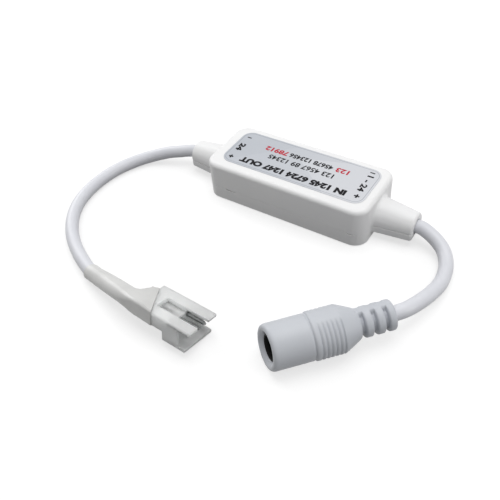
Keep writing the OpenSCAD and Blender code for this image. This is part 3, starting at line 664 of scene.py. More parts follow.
class Shape:
    """A mesh in the making, in millimetres, that becomes a piece of the object."""

    def __init__(self) -> None:
        """Starts an empty mesh."""
        self.mesh = bmesh.new()

    @classmethod
    def of_node(cls, node: bpy.types.Object) -> "Shape":
        """Returns a merged copy of a CAD node, with its flat faces made whole."""
        shape = cls()
        shape.mesh.from_mesh(node.data)
        bmesh.ops.scale(shape.mesh, vec=Vector((1.0, 1.0, 1.0)) / MM, verts=shape.mesh.verts)
        return shape.merge().flatten(FLAT_ANGLE)

    def merge(self) -> "Shape":
        """Merges the corners that lie in one place."""
        bmesh.ops.remove_doubles(self.mesh, verts=self.mesh.verts, dist=MERGE_WITHIN)
        return self

    def flatten(self, angle: float) -> "Shape":
        """Makes one face of faces that meet at less than an angle, in degrees."""
        mesh = self.mesh
        bmesh.ops.dissolve_limit(
            mesh, angle_limit=math.radians(angle), verts=list(mesh.verts), edges=list(mesh.edges)
        )
        return self

    def soften(self, width: float, segments: int = 2, test: EdgeTest | None = is_convex) -> "Shape":
        """Rounds the sharp edges.

        Args:
            width: How far the rounding reaches from each edge.
            segments: How many faces make the rounding.
            test: Says whether an edge is rounded. All sharp ones are, where it is None.

        Returns:
            The shape itself.
        """
        limit = math.radians(SMOOTH_BELOW)
        sharp = [
            edge
            for edge in self.mesh.edges
            if len(edge.link_faces) == 2 and edge.calc_face_angle() > limit
            if test is None or test(edge)
        ]
        bmesh.ops.bevel(
            self.mesh, geom=sharp, offset=width, offset_type="OFFSET", segments=segments,
            profile=0.5, affect="EDGES", material=-1, clamp_overlap=False,
        )
        return self

    def paint(self, choose: FacePaint) -> "Shape":
        """Gives each face the material slot that is chosen by its middle and its normal."""
        self.mesh.normal_update()
        for face in self.mesh.faces:
            face.material_index = choose(face.calc_center_median(), face.normal)
        return self

    def move(self, matrix: Matrix) -> "Shape":
        """Applies a transform to the whole shape."""
        bmesh.ops.transform(self.mesh, matrix=matrix, verts=self.mesh.verts)
        return self

    def add_box(self, low: Point, high: Point) -> "Shape":
        """Adds a box between its lowest and its highest corner."""
        low_corner, high_corner = Vector(low), Vector(high)
        size = Matrix.Diagonal((*(high_corner - low_corner), 1.0))
        middle = Matrix.Translation((low_corner + high_corner) / 2)
        bmesh.ops.create_cube(self.mesh, size=1.0, matrix=middle @ size)
        return self

    def unite_box(self, low: Point, high: Point) -> "Shape":
        """Joins a box to the solid, so that one closed skin is left.

        Args:
            low: Its lowest corner.
            high: Its highest corner.

        Returns:
            The shape itself.
        """
        parts = []
        for name, shape in (("united_solid", self), ("united_box", Shape().add_box(low, high))):
            data = bpy.data.meshes.new(name)
            shape.mesh.to_mesh(data)
            parts.append(show(name, data))
        solid, box = parts
        union = solid.modifiers.new("union", "BOOLEAN")
        union.operation, union.solver, union.object = "UNION", "EXACT", box
        joined = evaluated_mesh(solid)
        self.mesh.clear()
        self.mesh.from_mesh(joined)
        # The objects that show these meshes go with them.
        for data in (solid.data, box.data, joined):
            bpy.data.meshes.remove(data)
        return self.flatten(UNION_FLAT_ANGLE)

    def add_turned(self, profile: Sequence[tuple[float, float]], steps: int) -> "Shape":
        """Adds a solid turned round the x axis.

        Args:
            profile: Places along the axis and radii, from one end to the other.
            steps: How many faces go round.

        Returns:
            The shape itself.
        """
        verts = [self.mesh.verts.new((along, 0.0, radius)) for along, radius in profile]
        edges = [self.mesh.edges.new(pair) for pair in zip(verts, verts[1:])]
        bmesh.ops.spin(
            self.mesh, geom=verts + edges, cent=(0.0, 0.0, 0.0), axis=(1.0, 0.0, 0.0),
            angle=math.tau, steps=steps, use_merge=True,
        )
        self.merge()
        bmesh.ops.recalc_face_normals(self.mesh, faces=self.mesh.faces)
        return self

    def add_loft(self, rings: Sequence[Sequence[Vector]]) -> "Shape":
        """Adds a closed skin through rings of points.

        Args:
            rings: The rings, with the same number of points each.

        Returns:
            The shape itself.
        """
        loops = []
        for ring in rings:
            made = bmesh.ops.create_circle(self.mesh, segments=len(ring), radius=1.0)["verts"]
            for vert, point in zip(made, ring):
                vert.co = point
            loops.append(list({edge for vert in made for edge in vert.link_edges}))
        for first, second in zip(loops, loops[1:]):
            bmesh.ops.bridge_loops(self.mesh, edges=first + second)
        for loop in (loops[0], loops[-1]):
            bmesh.ops.contextual_create(self.mesh, geom=loop)
        bmesh.ops.recalc_face_normals(self.mesh, faces=self.mesh.faces)
        return self

    def add_mesh(self, data: bpy.types.Mesh, slot: int = 0) -> "Shape":
        """Adds a ready mesh in one material slot, and deletes its data."""
        before = len(self.mesh.faces)
        self.mesh.from_mesh(data)
        self.mesh.faces.ensure_lookup_table()
        for face in self.mesh.faces[before:]:
            face.material_index = slot
        bpy.data.meshes.remove(data)
        return self

    def piece(
        self,
        name: str,
        finishes: Sequence[Finish],
        replaces: str | None = None,
        slot: Finish | None = None,
        smooth_below: float = SMOOTH_BELOW,
    ) -> bpy.types.Object:
        """Ends the shape as a piece with smooth shading between its sharp edges.

        Args:
            name: The piece's name.
            finishes: Its finishes in the order of its material slots.
            replaces: The CAD node that it stands for, if any.
            slot: Not used.
            smooth_below: The angle up to which an edge is smooth, in degrees.

        Returns:
            The new object.
        """
        mesh = self.mesh
        bmesh.ops.scale(mesh, vec=Vector((MM, MM, MM)), verts=mesh.verts)
        limit = math.radians(smooth_below)
        for face in mesh.faces:
            face.smooth = True
        for edge in mesh.edges:
            edge.smooth = len(edge.link_faces) == 2 and edge.calc_face_angle() < limit
        open_edges = sum(len(edge.link_faces) != 2 for edge in mesh.edges)
        log.info("%s: %d faces, %d open edges", name, len(mesh.faces), open_edges)
        data = bpy.data.meshes.new(name)
        mesh.to_mesh(data)
        mesh.free()
        made = add_piece(name, data, finishes)
        made.modifiers.new("even_normals", "WEIGHTED_NORMAL").keep_sharp = True
        if replaces is not None:
            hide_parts(replaces)
        return made


@dataclass
class Assembly:
    """A sub-assembly, made after its CAD nodes."""

    nodes: dict[str, bpy.types.Object]

    def refine(
        self,
        node: str,
        name: str,
        finishes: Sequence[Finish],
        width: float,
        choose: FacePaint | None = None,
        test: EdgeTest | None = is_convex,
    ) -> bpy.types.Object:
        """Puts a copy with rounded edges in the place of one CAD node.

        Args:
            node: The node's name.
            name: The new piece's name.
            finishes: Its finishes in the order of its material slots.
            width: How far the rounding of its sharp edges reaches.
            choose: Gives each face its slot. All faces are in the first one without it.
            test: Says whether a sharp edge is rounded. All are, where it is None.

        Returns:
            The new object.
        """
        shape = Shape.of_node(self.nodes[node])
        if choose is not None:
            shape.paint(choose)
        return shape.soften(width, test=test).piece(name, finishes, node)


# ---------------------------------------------------------------- camera, floor and light


@dataclass(frozen=True)
class SoftBox:
    """One square lamp that faces the object, with its place and side in metres, power in watts."""

    name: str
    place: Point
    size: float
    power: float
    aim: Point = (0.0, -0.02, 0.005)

    def build(self) -> None:
        """Makes the lamp."""
        data = bpy.data.lights.new(self.name, "AREA")
        data.shape = "SQUARE"
        data.size = self.size
        data.energy = self.power
        turn = (Vector(self.aim) - Vector(self.place)).to_track_quat("-Z", "Y").to_matrix()
        show(self.name, data).matrix_world = Matrix.Translation(self.place) @ turn.to_4x4()


@dataclass
class Studio:
    """The pale floor, the soft light and the camera of the photograph.

    The nearest distance that the camera sees and the size of the floor are in metres.
    """

    azimuth: float = 37.57
    elevation: float = 44.95
    roll: float = -6.38
    place: Point = (70.9, -117.89, 117.62)
    lens: float = 44.64
    sensor: float = 36.0
    nearest: float = 0.005
    floor_size: float = 4.0
    floor_unseen: Colour = (0.09, 0.09, 0.09)
    floor_seen: Colour = (0.42, 0.42, 0.42)
    floor_glow: Colour = (1.0, 1.0, 1.0)
    floor_lift: float = 0.64
    sky_unseen: float = 0.64
    sky_seen: float = 1.0
    soft_boxes: tuple[SoftBox, ...] = (
        SoftBox("overhead", (0.02, 0.10, 0.65), 0.5, 1.95),
        SoftBox("right", (0.70, 0.12, 0.30), 0.35, 1.0),
        SoftBox("left", (-0.62, 0.20, 0.34), 0.4, 1.5),
    )

    def build(self) -> None:
        """Makes the camera, the floor, the lamps and the surroundings."""
        self.make_camera()
        self.make_floor()
        for soft_box in self.soft_boxes:
            soft_box.build()
        self.make_world()

    def make_camera(self) -> None:
        """Places the camera that was solved from the photograph."""
        a, e, r = (math.radians(angle) for angle in (self.azimuth, self.elevation, self.roll))
        back = Vector((math.sin(a) * math.cos(e), -math.cos(a) * math.cos(e), math.sin(e)))
        right = Vector((math.cos(a), math.sin(a), 0.0))
        up = back.cross(right)
        turned_right = math.cos(r) * right + math.sin(r) * up
        turned_up = math.cos(r) * up - math.sin(r) * right
        data = bpy.data.cameras.new("camera")
        data.lens = self.lens
        data.sensor_width = self.sensor
        data.clip_start = self.nearest
        camera = show("camera", data)
        turn = Matrix((turned_right, turned_up, back)).transposed().to_4x4()
        camera.matrix_world = Matrix.Translation(Vector(self.place) * MM) @ turn
        bpy.context.scene.camera = camera

    def make_floor(self) -> None:
        """Makes the pale floor, white to the camera apart from the object's shadow."""
        shape = bmesh.new()
        bmesh.ops.create_grid(shape, x_segments=1, y_segments=1, size=self.floor_size / 2)
        data = bpy.data.meshes.new("floor")
        shape.to_mesh(data)
        shape.free()
        graph = Graph.of_material("floor_paper")
        unseen = graph.node("ShaderNodeBsdfDiffuse", inputs={"Color": self.floor_unseen})
        seen = graph.node("ShaderNodeBsdfDiffuse", inputs={"Color": self.floor_seen})
        lift = graph.node(
            "ShaderNodeEmission", inputs={"Color": self.floor_glow, "Strength": self.floor_lift}
        )
        lit = graph.node("ShaderNodeAddShader", inputs={0: seen, 1: lift})
        mixed = graph.node("ShaderNodeMixShader", inputs={0: graph.shown(), 1: unseen, 2: lit})
        graph.node("ShaderNodeOutputMaterial", inputs={"Surface": mixed})
        data.materials.append(graph.owner)
        show("floor", data)

    def make_world(self) -> None:
        """Makes the surroundings: white where they are seen, dim as a source of light."""
        world = bpy.data.worlds.new("surroundings")
        bpy.context.scene.world = world
        graph = Graph(world)
        strength = graph.node(
            "ShaderNodeMapRange",
            inputs={"Value": graph.shown(), "To Min": self.sky_unseen, "To Max": self.sky_seen},
        )
        background = graph.node("ShaderNodeBackground", inputs={"Strength": strength})
        graph.node("ShaderNodeOutputWorld", inputs={"Surface": background})
        bpy.context.scene.view_settings.view_transform = "Standard"


# ---------------------------------------------------------------- cords


@dataclass
class Cord:
    """A round cord that follows a route of points from its exit to what it carries."""

    name: str
    node: str
    route: Sequence[Point]
    far_end: str
    carries: Sequence[bpy.types.Object]
    diameter: float = 3.7
    smoothness: int = 10
    finish: Finish = Finish.CORD_WHITE

    def build(self) -> bpy.types.Object:
        """Returns:
            The cord's object.
        """
        data = bpy.data.curves.new(self.name, "CURVE")
        data.dimensions = "3D"
        data.resolution_u = self.smoothness
        data.bevel_mode = "ROUND"
        data.bevel_depth = self.diameter / 2 * MM
        data.bevel_resolution = self.smoothness
        data.use_fill_caps = True
        spline = data.splines.new("BEZIER")
        points = [Vector(point) * MM for point in self.route]
        spline.bezier_points.add(len(points) - 1)
        for knot, point in zip(spline.bezier_points, points):
            knot.co = point
            knot.handle_left_type = knot.handle_right_type = "AUTO"
        piece = add_piece(self.name, data, (self.finish,))
        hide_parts(self.node)
        bpy.context.view_layer.update()
        length = spline.calc_length()
        self.diameter * MM
        list(self.carries)
        log.info("%s: cord of %.1f mm", self.name, length / MM)
        return piece


INPUT_ROUTE: Sequence[Point] = (
    (35.5, 0.0, 4.7), (36.5, 0.0, 4.7),
    (38.2, -0.3, 4.4), (40.3, -0.9, 3.8), (42.2, -1.7, 3.1), (43.9, -2.9, 2.5),
    (45.3, -4.8, 2.1), (46.4, -7.2, 1.9), (47.0, -9.8, 1.9), (47.3, -12.6, 2.0),
    (47.2, -15.4, 2.4), (46.8, -18.2, 3.0), (46.4, -20.8, 3.8), (45.9, -23.2, 4.6),
    (45.2, -25.6, 5.2), (44.3, -27.8, 5.6), (42.755, -29.981, 5.7), (42.09, -30.727, 5.7),
)
OUTPUT_ROUTE: Sequence[Point] = (
    (-35.5, 0.0, 4.7), (-36.5, 0.0, 4.7),
    (-38.8, -0.7, 4.5), (-41.4, -1.8, 4.1), (-44.4, -3.0, 3.6), (-47.4, -4.6, 2.9),
    (-50.0, -6.4, 2.3), (-52.1, -8.7, 2.0), (-53.8, -11.5, 1.9), (-55.2, -14.7, 1.9),
    (-56.2, -18.3, 1.9), (-56.7, -22.3, 1.9), (-56.7, -26.5, 1.9), (-56.1, -30.7, 1.9),
    (-54.7, -35.0, 1.9), (-52.2, -39.3, 1.9), (-48.8, -43.2, 1.9), (-44.8, -46.5, 1.9),
    (-40.6, -49.1, 1.9), (-36.6, -51.1, 2.0), (-32.73, -52.658, 2.122), (-31.776, -52.951, 2.181),
)


# ---------------------------------------------------------------- housing


@dataclass
class Housing(Assembly):
    """The two half shells, with a fine seam and fillets where the cord bosses leave the ends."""

    end_x: float = 25.0
    side_y: float = 10.4
    boss_radius: float = 4.9
    boss_side: float = 3.0
    cord_height: float = 4.7
    seam_height: float = 4.2
    edge_round: float = 0.12
    seam_round: float = 0.32
    seam_steps: int = 3
    fillet: float = 0.8
    fillet_steps: int = 5
    end_within: float = 0.02
    radius_within: float = 0.06
    seam_within: float = 0.01
    wall_within: float = 0.05

    def build(self) -> None:
        """Makes both shells."""
        for half in ("upper", "lower"):
            shape = Shape.of_node(self.nodes[f"{half}_shell"])
            shape.soften(self.fillet, self.fillet_steps, self.is_boss_root)
            shape.soften(self.seam_round, self.seam_steps, self.is_boss_seam)
            shape.soften(self.edge_round, test=self.is_outer)
            shape.piece(f"{half}_half", (Finish.SHELL_WHITE,), f"{half}_shell")

    def is_boss_root(self, edge: bmesh.types.BMEdge) -> bool:
        """Returns whether an edge runs round the root of a cord boss."""
        return not edge.is_convex and all(self.is_on_root(vert.co) for vert in edge.verts)

    def is_on_root(self, spot: Vector) -> bool:
        """Returns whether a corner lies where the round of a cord boss meets the end wall."""
        out = math.hypot(spot.y, max(spot.z - self.cord_height, 0.0))
        return (
            abs(abs(spot.x) - self.end_x) <= self.end_within
            and abs(out - self.boss_radius) <= self.radius_within
        )

    def is_boss_seam(self, edge: bmesh.types.BMEdge) -> bool:
        """Returns whether an edge of a cord boss runs along the seam, on the outside."""
        return edge.is_convex and all(
            abs(vert.co.z - self.seam_height) < self.seam_within
            and abs(vert.co.x) > self.end_x
            and abs(vert.co.y) > self.boss_side
            for vert in edge.verts
        )

    def is_outer(self, edge: bmesh.types.BMEdge) -> bool:
        """Returns whether an edge is a convex one on the outside of the housing."""
        middle = (edge.verts[0].co + edge.verts[1].co) / 2
        out = max(abs(middle.x) - self.end_x, abs(middle.y) - self.side_y)
        return edge.is_convex and out > -self.wall_within


# ---------------------------------------------------------------- label

# Depth and weld distance in font units, and steps in each curve of a sign.
SIGN_DEPTH = 0.5
SIGN_WELD = 0.0001
SIGN_STEPS = 4


@dataclass(frozen=True)
class Mark:
    """One printed line of generic signs, fitted into its box on the label.

    The turn is the direction in which it is read, from x. Bold pushes its outlines out, in font
    units.
    """

    text: str
    middle: tuple[float, float]
    length: float
    height: float
    ink: Finish
    turn: float = 180.0
    bold: float = 0.0

    def mesh(self, low: float, high: float) -> bpy.types.Mesh:
        """Returns the line of signs as a closed solid.

        Args:
            low: The height of its underside.
            high: The height of its top.

        Returns:
            The mesh, in millimetres.
        """
        curve = bpy.data.curves.new("lettering", "FONT")
        curve.body = self.text
        curve.offset = self.bold
        curve.extrude = SIGN_DEPTH
        curve.resolution_u = SIGN_STEPS
        curve.align_x = curve.align_y = "CENTER"
        holder = show("lettering", curve)
        bpy.context.view_layer.update()
        data = evaluated_mesh(holder)
        bpy.data.curves.remove(curve)
        welded = bmesh.new()
        welded.from_mesh(data)
        bmesh.ops.remove_doubles(welded, verts=welded.verts, dist=SIGN_WELD)
        welded.to_mesh(data)
        welded.free()
        data.transform(self.placing(data, low, high))
        return data

    def placing(self, data: bpy.types.Mesh, low: float, high: float) -> Matrix:
        """Returns the transform that fits a mesh of the signs into their box."""
        spots = [vert.co for vert in data.vertices]
        least, most = (
            Vector([pick(spot[axis] for spot in spots) for axis in range(3)]) for pick in (min, max)
        )
        size = most - least
        scale = (self.length / size.x, self.height / size.y, (high - low) / size.z, 1.0)
        return (
            Matrix.Translation((*self.middle, low))
            @ Matrix.Rotation(math.radians(self.turn), 4, "Z")
            @ Matrix.Diagonal(scale)
            @ Matrix.Translation(-(least + Vector((size.x, size.y, 0.0)) / 2))
        )


@dataclass
class Label(Assembly):
    """The foil label and the signs printed on it, none of which names anything."""

    edge_round: float = 0.03
    top: float = 11.92
    ink_sink: float = 0.006
    ink_rise: float = 0.014
    marks: tuple[Mark, ...] = (
        Mark("IN 1245 6724 1247 OUT", (0.5, -4.5), 33.0, 2.4, Finish.INK_BLACK, bold=0.065),
        Mark("123 4567 89 12345", (0.75, 0.1), 20.4, 1.95, Finish.INK_BLACK, bold=0.025),
        Mark("123", (12.1, 3.3), 3.8, 1.9, Finish.INK_RED, bold=0.035),
        Mark("45678 123456", (2.4, 3.25), 13.6, 1.9, Finish.INK_BLACK, bold=0.035),
        Mark("78912", (-8.6, 3.2), 7.3, 1.95, Finish.INK_RED, bold=0.035),
        Mark("+", (20.0, -4.2), 1.5, 1.5, Finish.INK_BLACK, bold=0.05),
        Mark("-", (19.6, 6.3), 1.4, 0.4, Finish.INK_BLACK),
        Mark("1 - 24", (19.8, 1.4), 7.0, 1.8, Finish.INK_BLACK, turn=-90.0, bold=0.04),
        Mark("+", (-19.05, -4.8), 1.4, 1.4, Finish.INK_BLACK, bold=0.06),
        Mark("-", (-19.15, 5.1), 1.3, 0.4, Finish.INK_BLACK),
        Mark("24", (-19.0, 0.15), 3.5, 1.85, Finish.INK_BLACK, turn=-90.0, bold=0.055),
    )

    def build(self) -> None:
        """Makes the plate and its print."""
        self.refine("label", "label_plate", (Finish.LABEL_SILVER,), self.edge_round, test=None)
        inks = (Finish.INK_BLACK, Finish.INK_RED)
        shape = Shape()
        for mark in self.marks:
            data = mark.mesh(self.top - self.ink_sink, self.top + self.ink_rise)
            shape.add_mesh(data, inks.index(mark.ink))
        shape.piece("label_print", inks, slot=Finish.LABEL_SILVER)


# ---------------------------------------------------------------- power jack


@dataclass(frozen=True)
class Arc:
    """An arc round the jack's axis with soft ends, in degrees from the near side upwards."""

    middle: float
    reach: float
    fade: float

    def mask(self, angle: float) -> float:
        """Returns 1 within the arc and 0 outside it."""
        away = abs((angle - self.middle + 180.0) % 360.0 - 180.0)
        return smooth_step((self.reach - away) / self.fade + 0.5)


@dataclass
class PowerJack(Assembly):
    """The moulded jack that lies on the table: body, black insert, centre pin and side spring.

    Its outlines are pairs of a place along the axis, from the mouth to the cord, and a radius.
    """

    mouth: Point = (21.8, -53.5, 5.7)
    heading: float = 48.3
    steps: int = 120
    body_smooth: float = 50.0
    pressed_from: float = 11.6
    pressed_to: float = 30.0
    core: float = 0.5
    groove_first: float = 12.2
    groove_pitch: float = 1.02
    groove_count: int = 6
    groove_depth: float = 0.26
    groove_half: float = 0.34
    groove_edge: float = 0.3
    groove_power: float = 0.8
    groove_stations: tuple[float, ...] = (-0.34, -0.17, 0.0, 0.17, 0.34)
    groove_arcs: tuple[Arc, ...] = (Arc(17.0, 58.0, 16.0), Arc(188.0, 50.0, 16.0))
    slots: tuple[float, ...] = (22.65, 25.45, 28.25)
    slot_floor: float = 2.45
    slot_stations: tuple[float, ...] = (
        -0.86, -0.74, -0.62, -0.52, -0.44, -0.38, 0.0, 0.38, 0.44, 0.52, 0.62, 0.74, 0.86,
    )
    slot_arcs: tuple[Arc, ...] = (Arc(8.0, 80.0, 18.0), Arc(188.0, 53.0, 18.0))
    slot_falls: Pairs = ((0.41, 1.0), (0.48, 0.8), (0.57, 0.27), (0.68, 0.11), (0.8, 0.03))
    mouth_slant: float = 1.8
    mouth_advance: float = 0.3
    mouth_radius: float = 5.45
    slant_towards: float = 55.0
    slant_reach: float = 7.0
    pin_tip: float = 4.0
    pin_retreat: float = 2.2
    pin_round: float = 0.1
    edge_round: float = 0.05
    inside: Pairs = ((13.6, 0.0), (13.6, 4.3), (3.0, 4.3), (3.0, 3.3))
    lip: Pairs = (
        (1.55, 3.3), (1.2, 3.33), (0.85, 3.44), (0.5, 3.68), (0.22, 3.98), (0.06, 4.25), (0.0, 4.5),
        (0.05, 4.85), (0.2, 5.12), (0.43, 5.3), (0.75, 5.4), (1.2, 5.45), (2.6, 5.45), (4.2, 5.45),
        (6.0, 5.45), (8.0, 5.45), (10.1, 5.45),
        (10.4, 5.43), (10.55, 5.35), (10.65, 5.27), (10.75, 5.27), (10.85, 5.38), (10.96, 5.57),
        (11.12, 5.68), (11.35, 5.7),
    )
    flank_radius: float = 5.7
    cone: Pairs = (
        (17.7, 5.67), (17.95, 5.58), (18.3, 5.42), (19.3, 4.95), (20.3, 4.45), (21.1, 4.05),
        (21.65, 3.78),
    )
    relief_radius: float = 3.63
    end: Pairs = ((29.9, 3.63), (30.2, 3.57), (30.4, 3.42), (30.5, 3.2), (30.5, 0.0))
    nose: Pairs = (
        (4.0, 3.12), (4.0, 3.2), (2.2, 3.24), (1.0, 3.24), (0.9, 3.18), (0.85, 3.05), (0.9, 2.92),
        (1.0, 2.86), (2.2, 2.86), (3.4, 3.05), (4.0, 3.12),
    )

    def build(self) -> list[bpy.types.Object]:
        """Makes and returns the four pieces."""
        metal = (Finish.CONTACT_METAL,)
        return [
            self.build_body(),
            self.build_socket(),
            self.build_pin(),
            self.refine("jack_spring_contact", "jack_spring", metal, self.edge_round),
        ]

    def frame(self) -> Matrix:
        """Returns where the jack lies, with its own x axis from the mouth to the cord."""
        return Matrix.Translation(self.mouth) @ Matrix.Rotation(math.radians(self.heading), 4, "Z")

    def build_body(self) -> bpy.types.Object:
        """Turns the body, then presses the flank grooves and the relief slots into it.

        Returns:
            The body's object.
        """
        shape = self.turned(self.profile())
        for vert in shape.mesh.verts:
            radius = math.hypot(vert.co.y, vert.co.z)
            if radius >= self.core and self.pressed_from <= vert.co.x <= self.pressed_to:
                angle = math.degrees(math.atan2(vert.co.z, -vert.co.y))
                pressed = self.pressed_radius(vert.co.x, radius, angle)
                vert.co.y *= pressed / radius
                vert.co.z *= pressed / radius
        shape.move(self.frame())
        return shape.piece(
            "jack_moulding", (Finish.JACK_WHITE,), "jack_body", smooth_below=self.body_smooth
        )

    def build_socket(self) -> bpy.types.Object:
        """Makes the black insert, with a nose that fills the mouth of the body.

        Returns:
            The insert's object.
        """
        shape = Shape.of_node(self.nodes["jack_insert"]).soften(self.edge_round)
        nose = self.turned(self.nose).move(self.frame())
        data = bpy.data.meshes.new("nose")
        nose.mesh.to_mesh(data)
        nose.mesh.free()
        return shape.add_mesh(data).piece("jack_socket", (Finish.INSERT_BLACK,), "jack_insert")

    def build_pin(self) -> bpy.types.Object:
        """Makes the centre pin, with its tip further back, as the photograph shows a dark mouth.

        Returns:
            The pin's object.
        """
        shape = Shape.of_node(self.nodes["jack_centre_pin"]).move(self.frame().inverted())
        for vert in shape.mesh.verts:
            if vert.co.x < self.pin_tip:
                vert.co.x += self.pin_retreat
        shape.soften(self.pin_round).move(self.frame())
        return shape.piece("jack_pin", (Finish.CONTACT_METAL,), "jack_centre_pin")

    def turned(self, outline: Sequence[tuple[float, float]]) -> Shape:
        """Returns a turned shape, with its mouth slanted to the near side and upwards."""
        shape = Shape().add_turned(outline, self.steps)
        towards = math.radians(self.slant_towards)
        near, up = math.cos(towards), math.sin(towards)
        for vert in shape.mesh.verts:
            side = (up * vert.co.z - near * vert.co.y) / self.mouth_radius
            slant = self.mouth_slant * (0.5 + 0.5 * side) - self.mouth_advance
            vert.co.x += slant * smooth_step(1.0 - vert.co.x / self.slant_reach)
        return shape

    def profile(self) -> list[tuple[float, float]]:
        """Returns the outline of the body, from inside the socket over the lip to the cord."""
        outline = [*self.inside, *self.lip]
        for index in range(self.groove_count):
            middle = self.groove_first + index * self.groove_pitch
            outline += [(middle + shift, self.flank_radius) for shift in self.groove_stations]
        outline += self.cone
        for middle in self.slots:
            outline += [(middle + shift, self.relief_radius) for shift in self.slot_stations]
        return [*outline, *self.end]

    def pressed_radius(self, along: float, radius: float, angle: float) -> float:
        """Returns the radius at one place, after grooves and slots are pressed in.

        Args:
            along: The place along the axis.
            radius: The turned radius there.
            angle: The angle round the axis, from the near side upwards, in degrees.

        Returns:
            The new radius.
        """
        flank = sum(arc.mask(angle) for arc in self.groove_arcs)
        for index in range(self.groove_count):
            away = abs(along - self.groove_first - index * self.groove_pitch)
            if away < self.groove_edge:
                fall = (1.0 - away / self.groove_half) ** self.groove_power
                radius -= self.groove_depth * fall * flank
        side = sum(arc.mask(angle) for arc in self.slot_arcs)
        for middle in self.slots:
            away = abs(along - middle)
            falls = (fall for edge, fall in self.slot_falls if away < edge)
            radius -= (radius - self.slot_floor) * next(falls, 0.0) * side
        return radius


# ---------------------------------------------------------------- strip connector


@dataclass(frozen=True)
class Section:
    """One section of the shrunk sleeve, in the connector's own frame."""

    along: float
    near: float
    far: float
    low: float
    high: float
    corner: float
    skew: float = 0.0
    lift: float = 0.0


def eased(before: float, start: float, end: float, after: float, t: float) -> float:
    """Returns the place at share t from start to end, on a smooth curve through all four."""
    bend = 2 * before - 5 * start + 4 * end - after + t * (3 * (start - end) + after - before)
    return start + 0.5 * t * (end - before + t * bend)


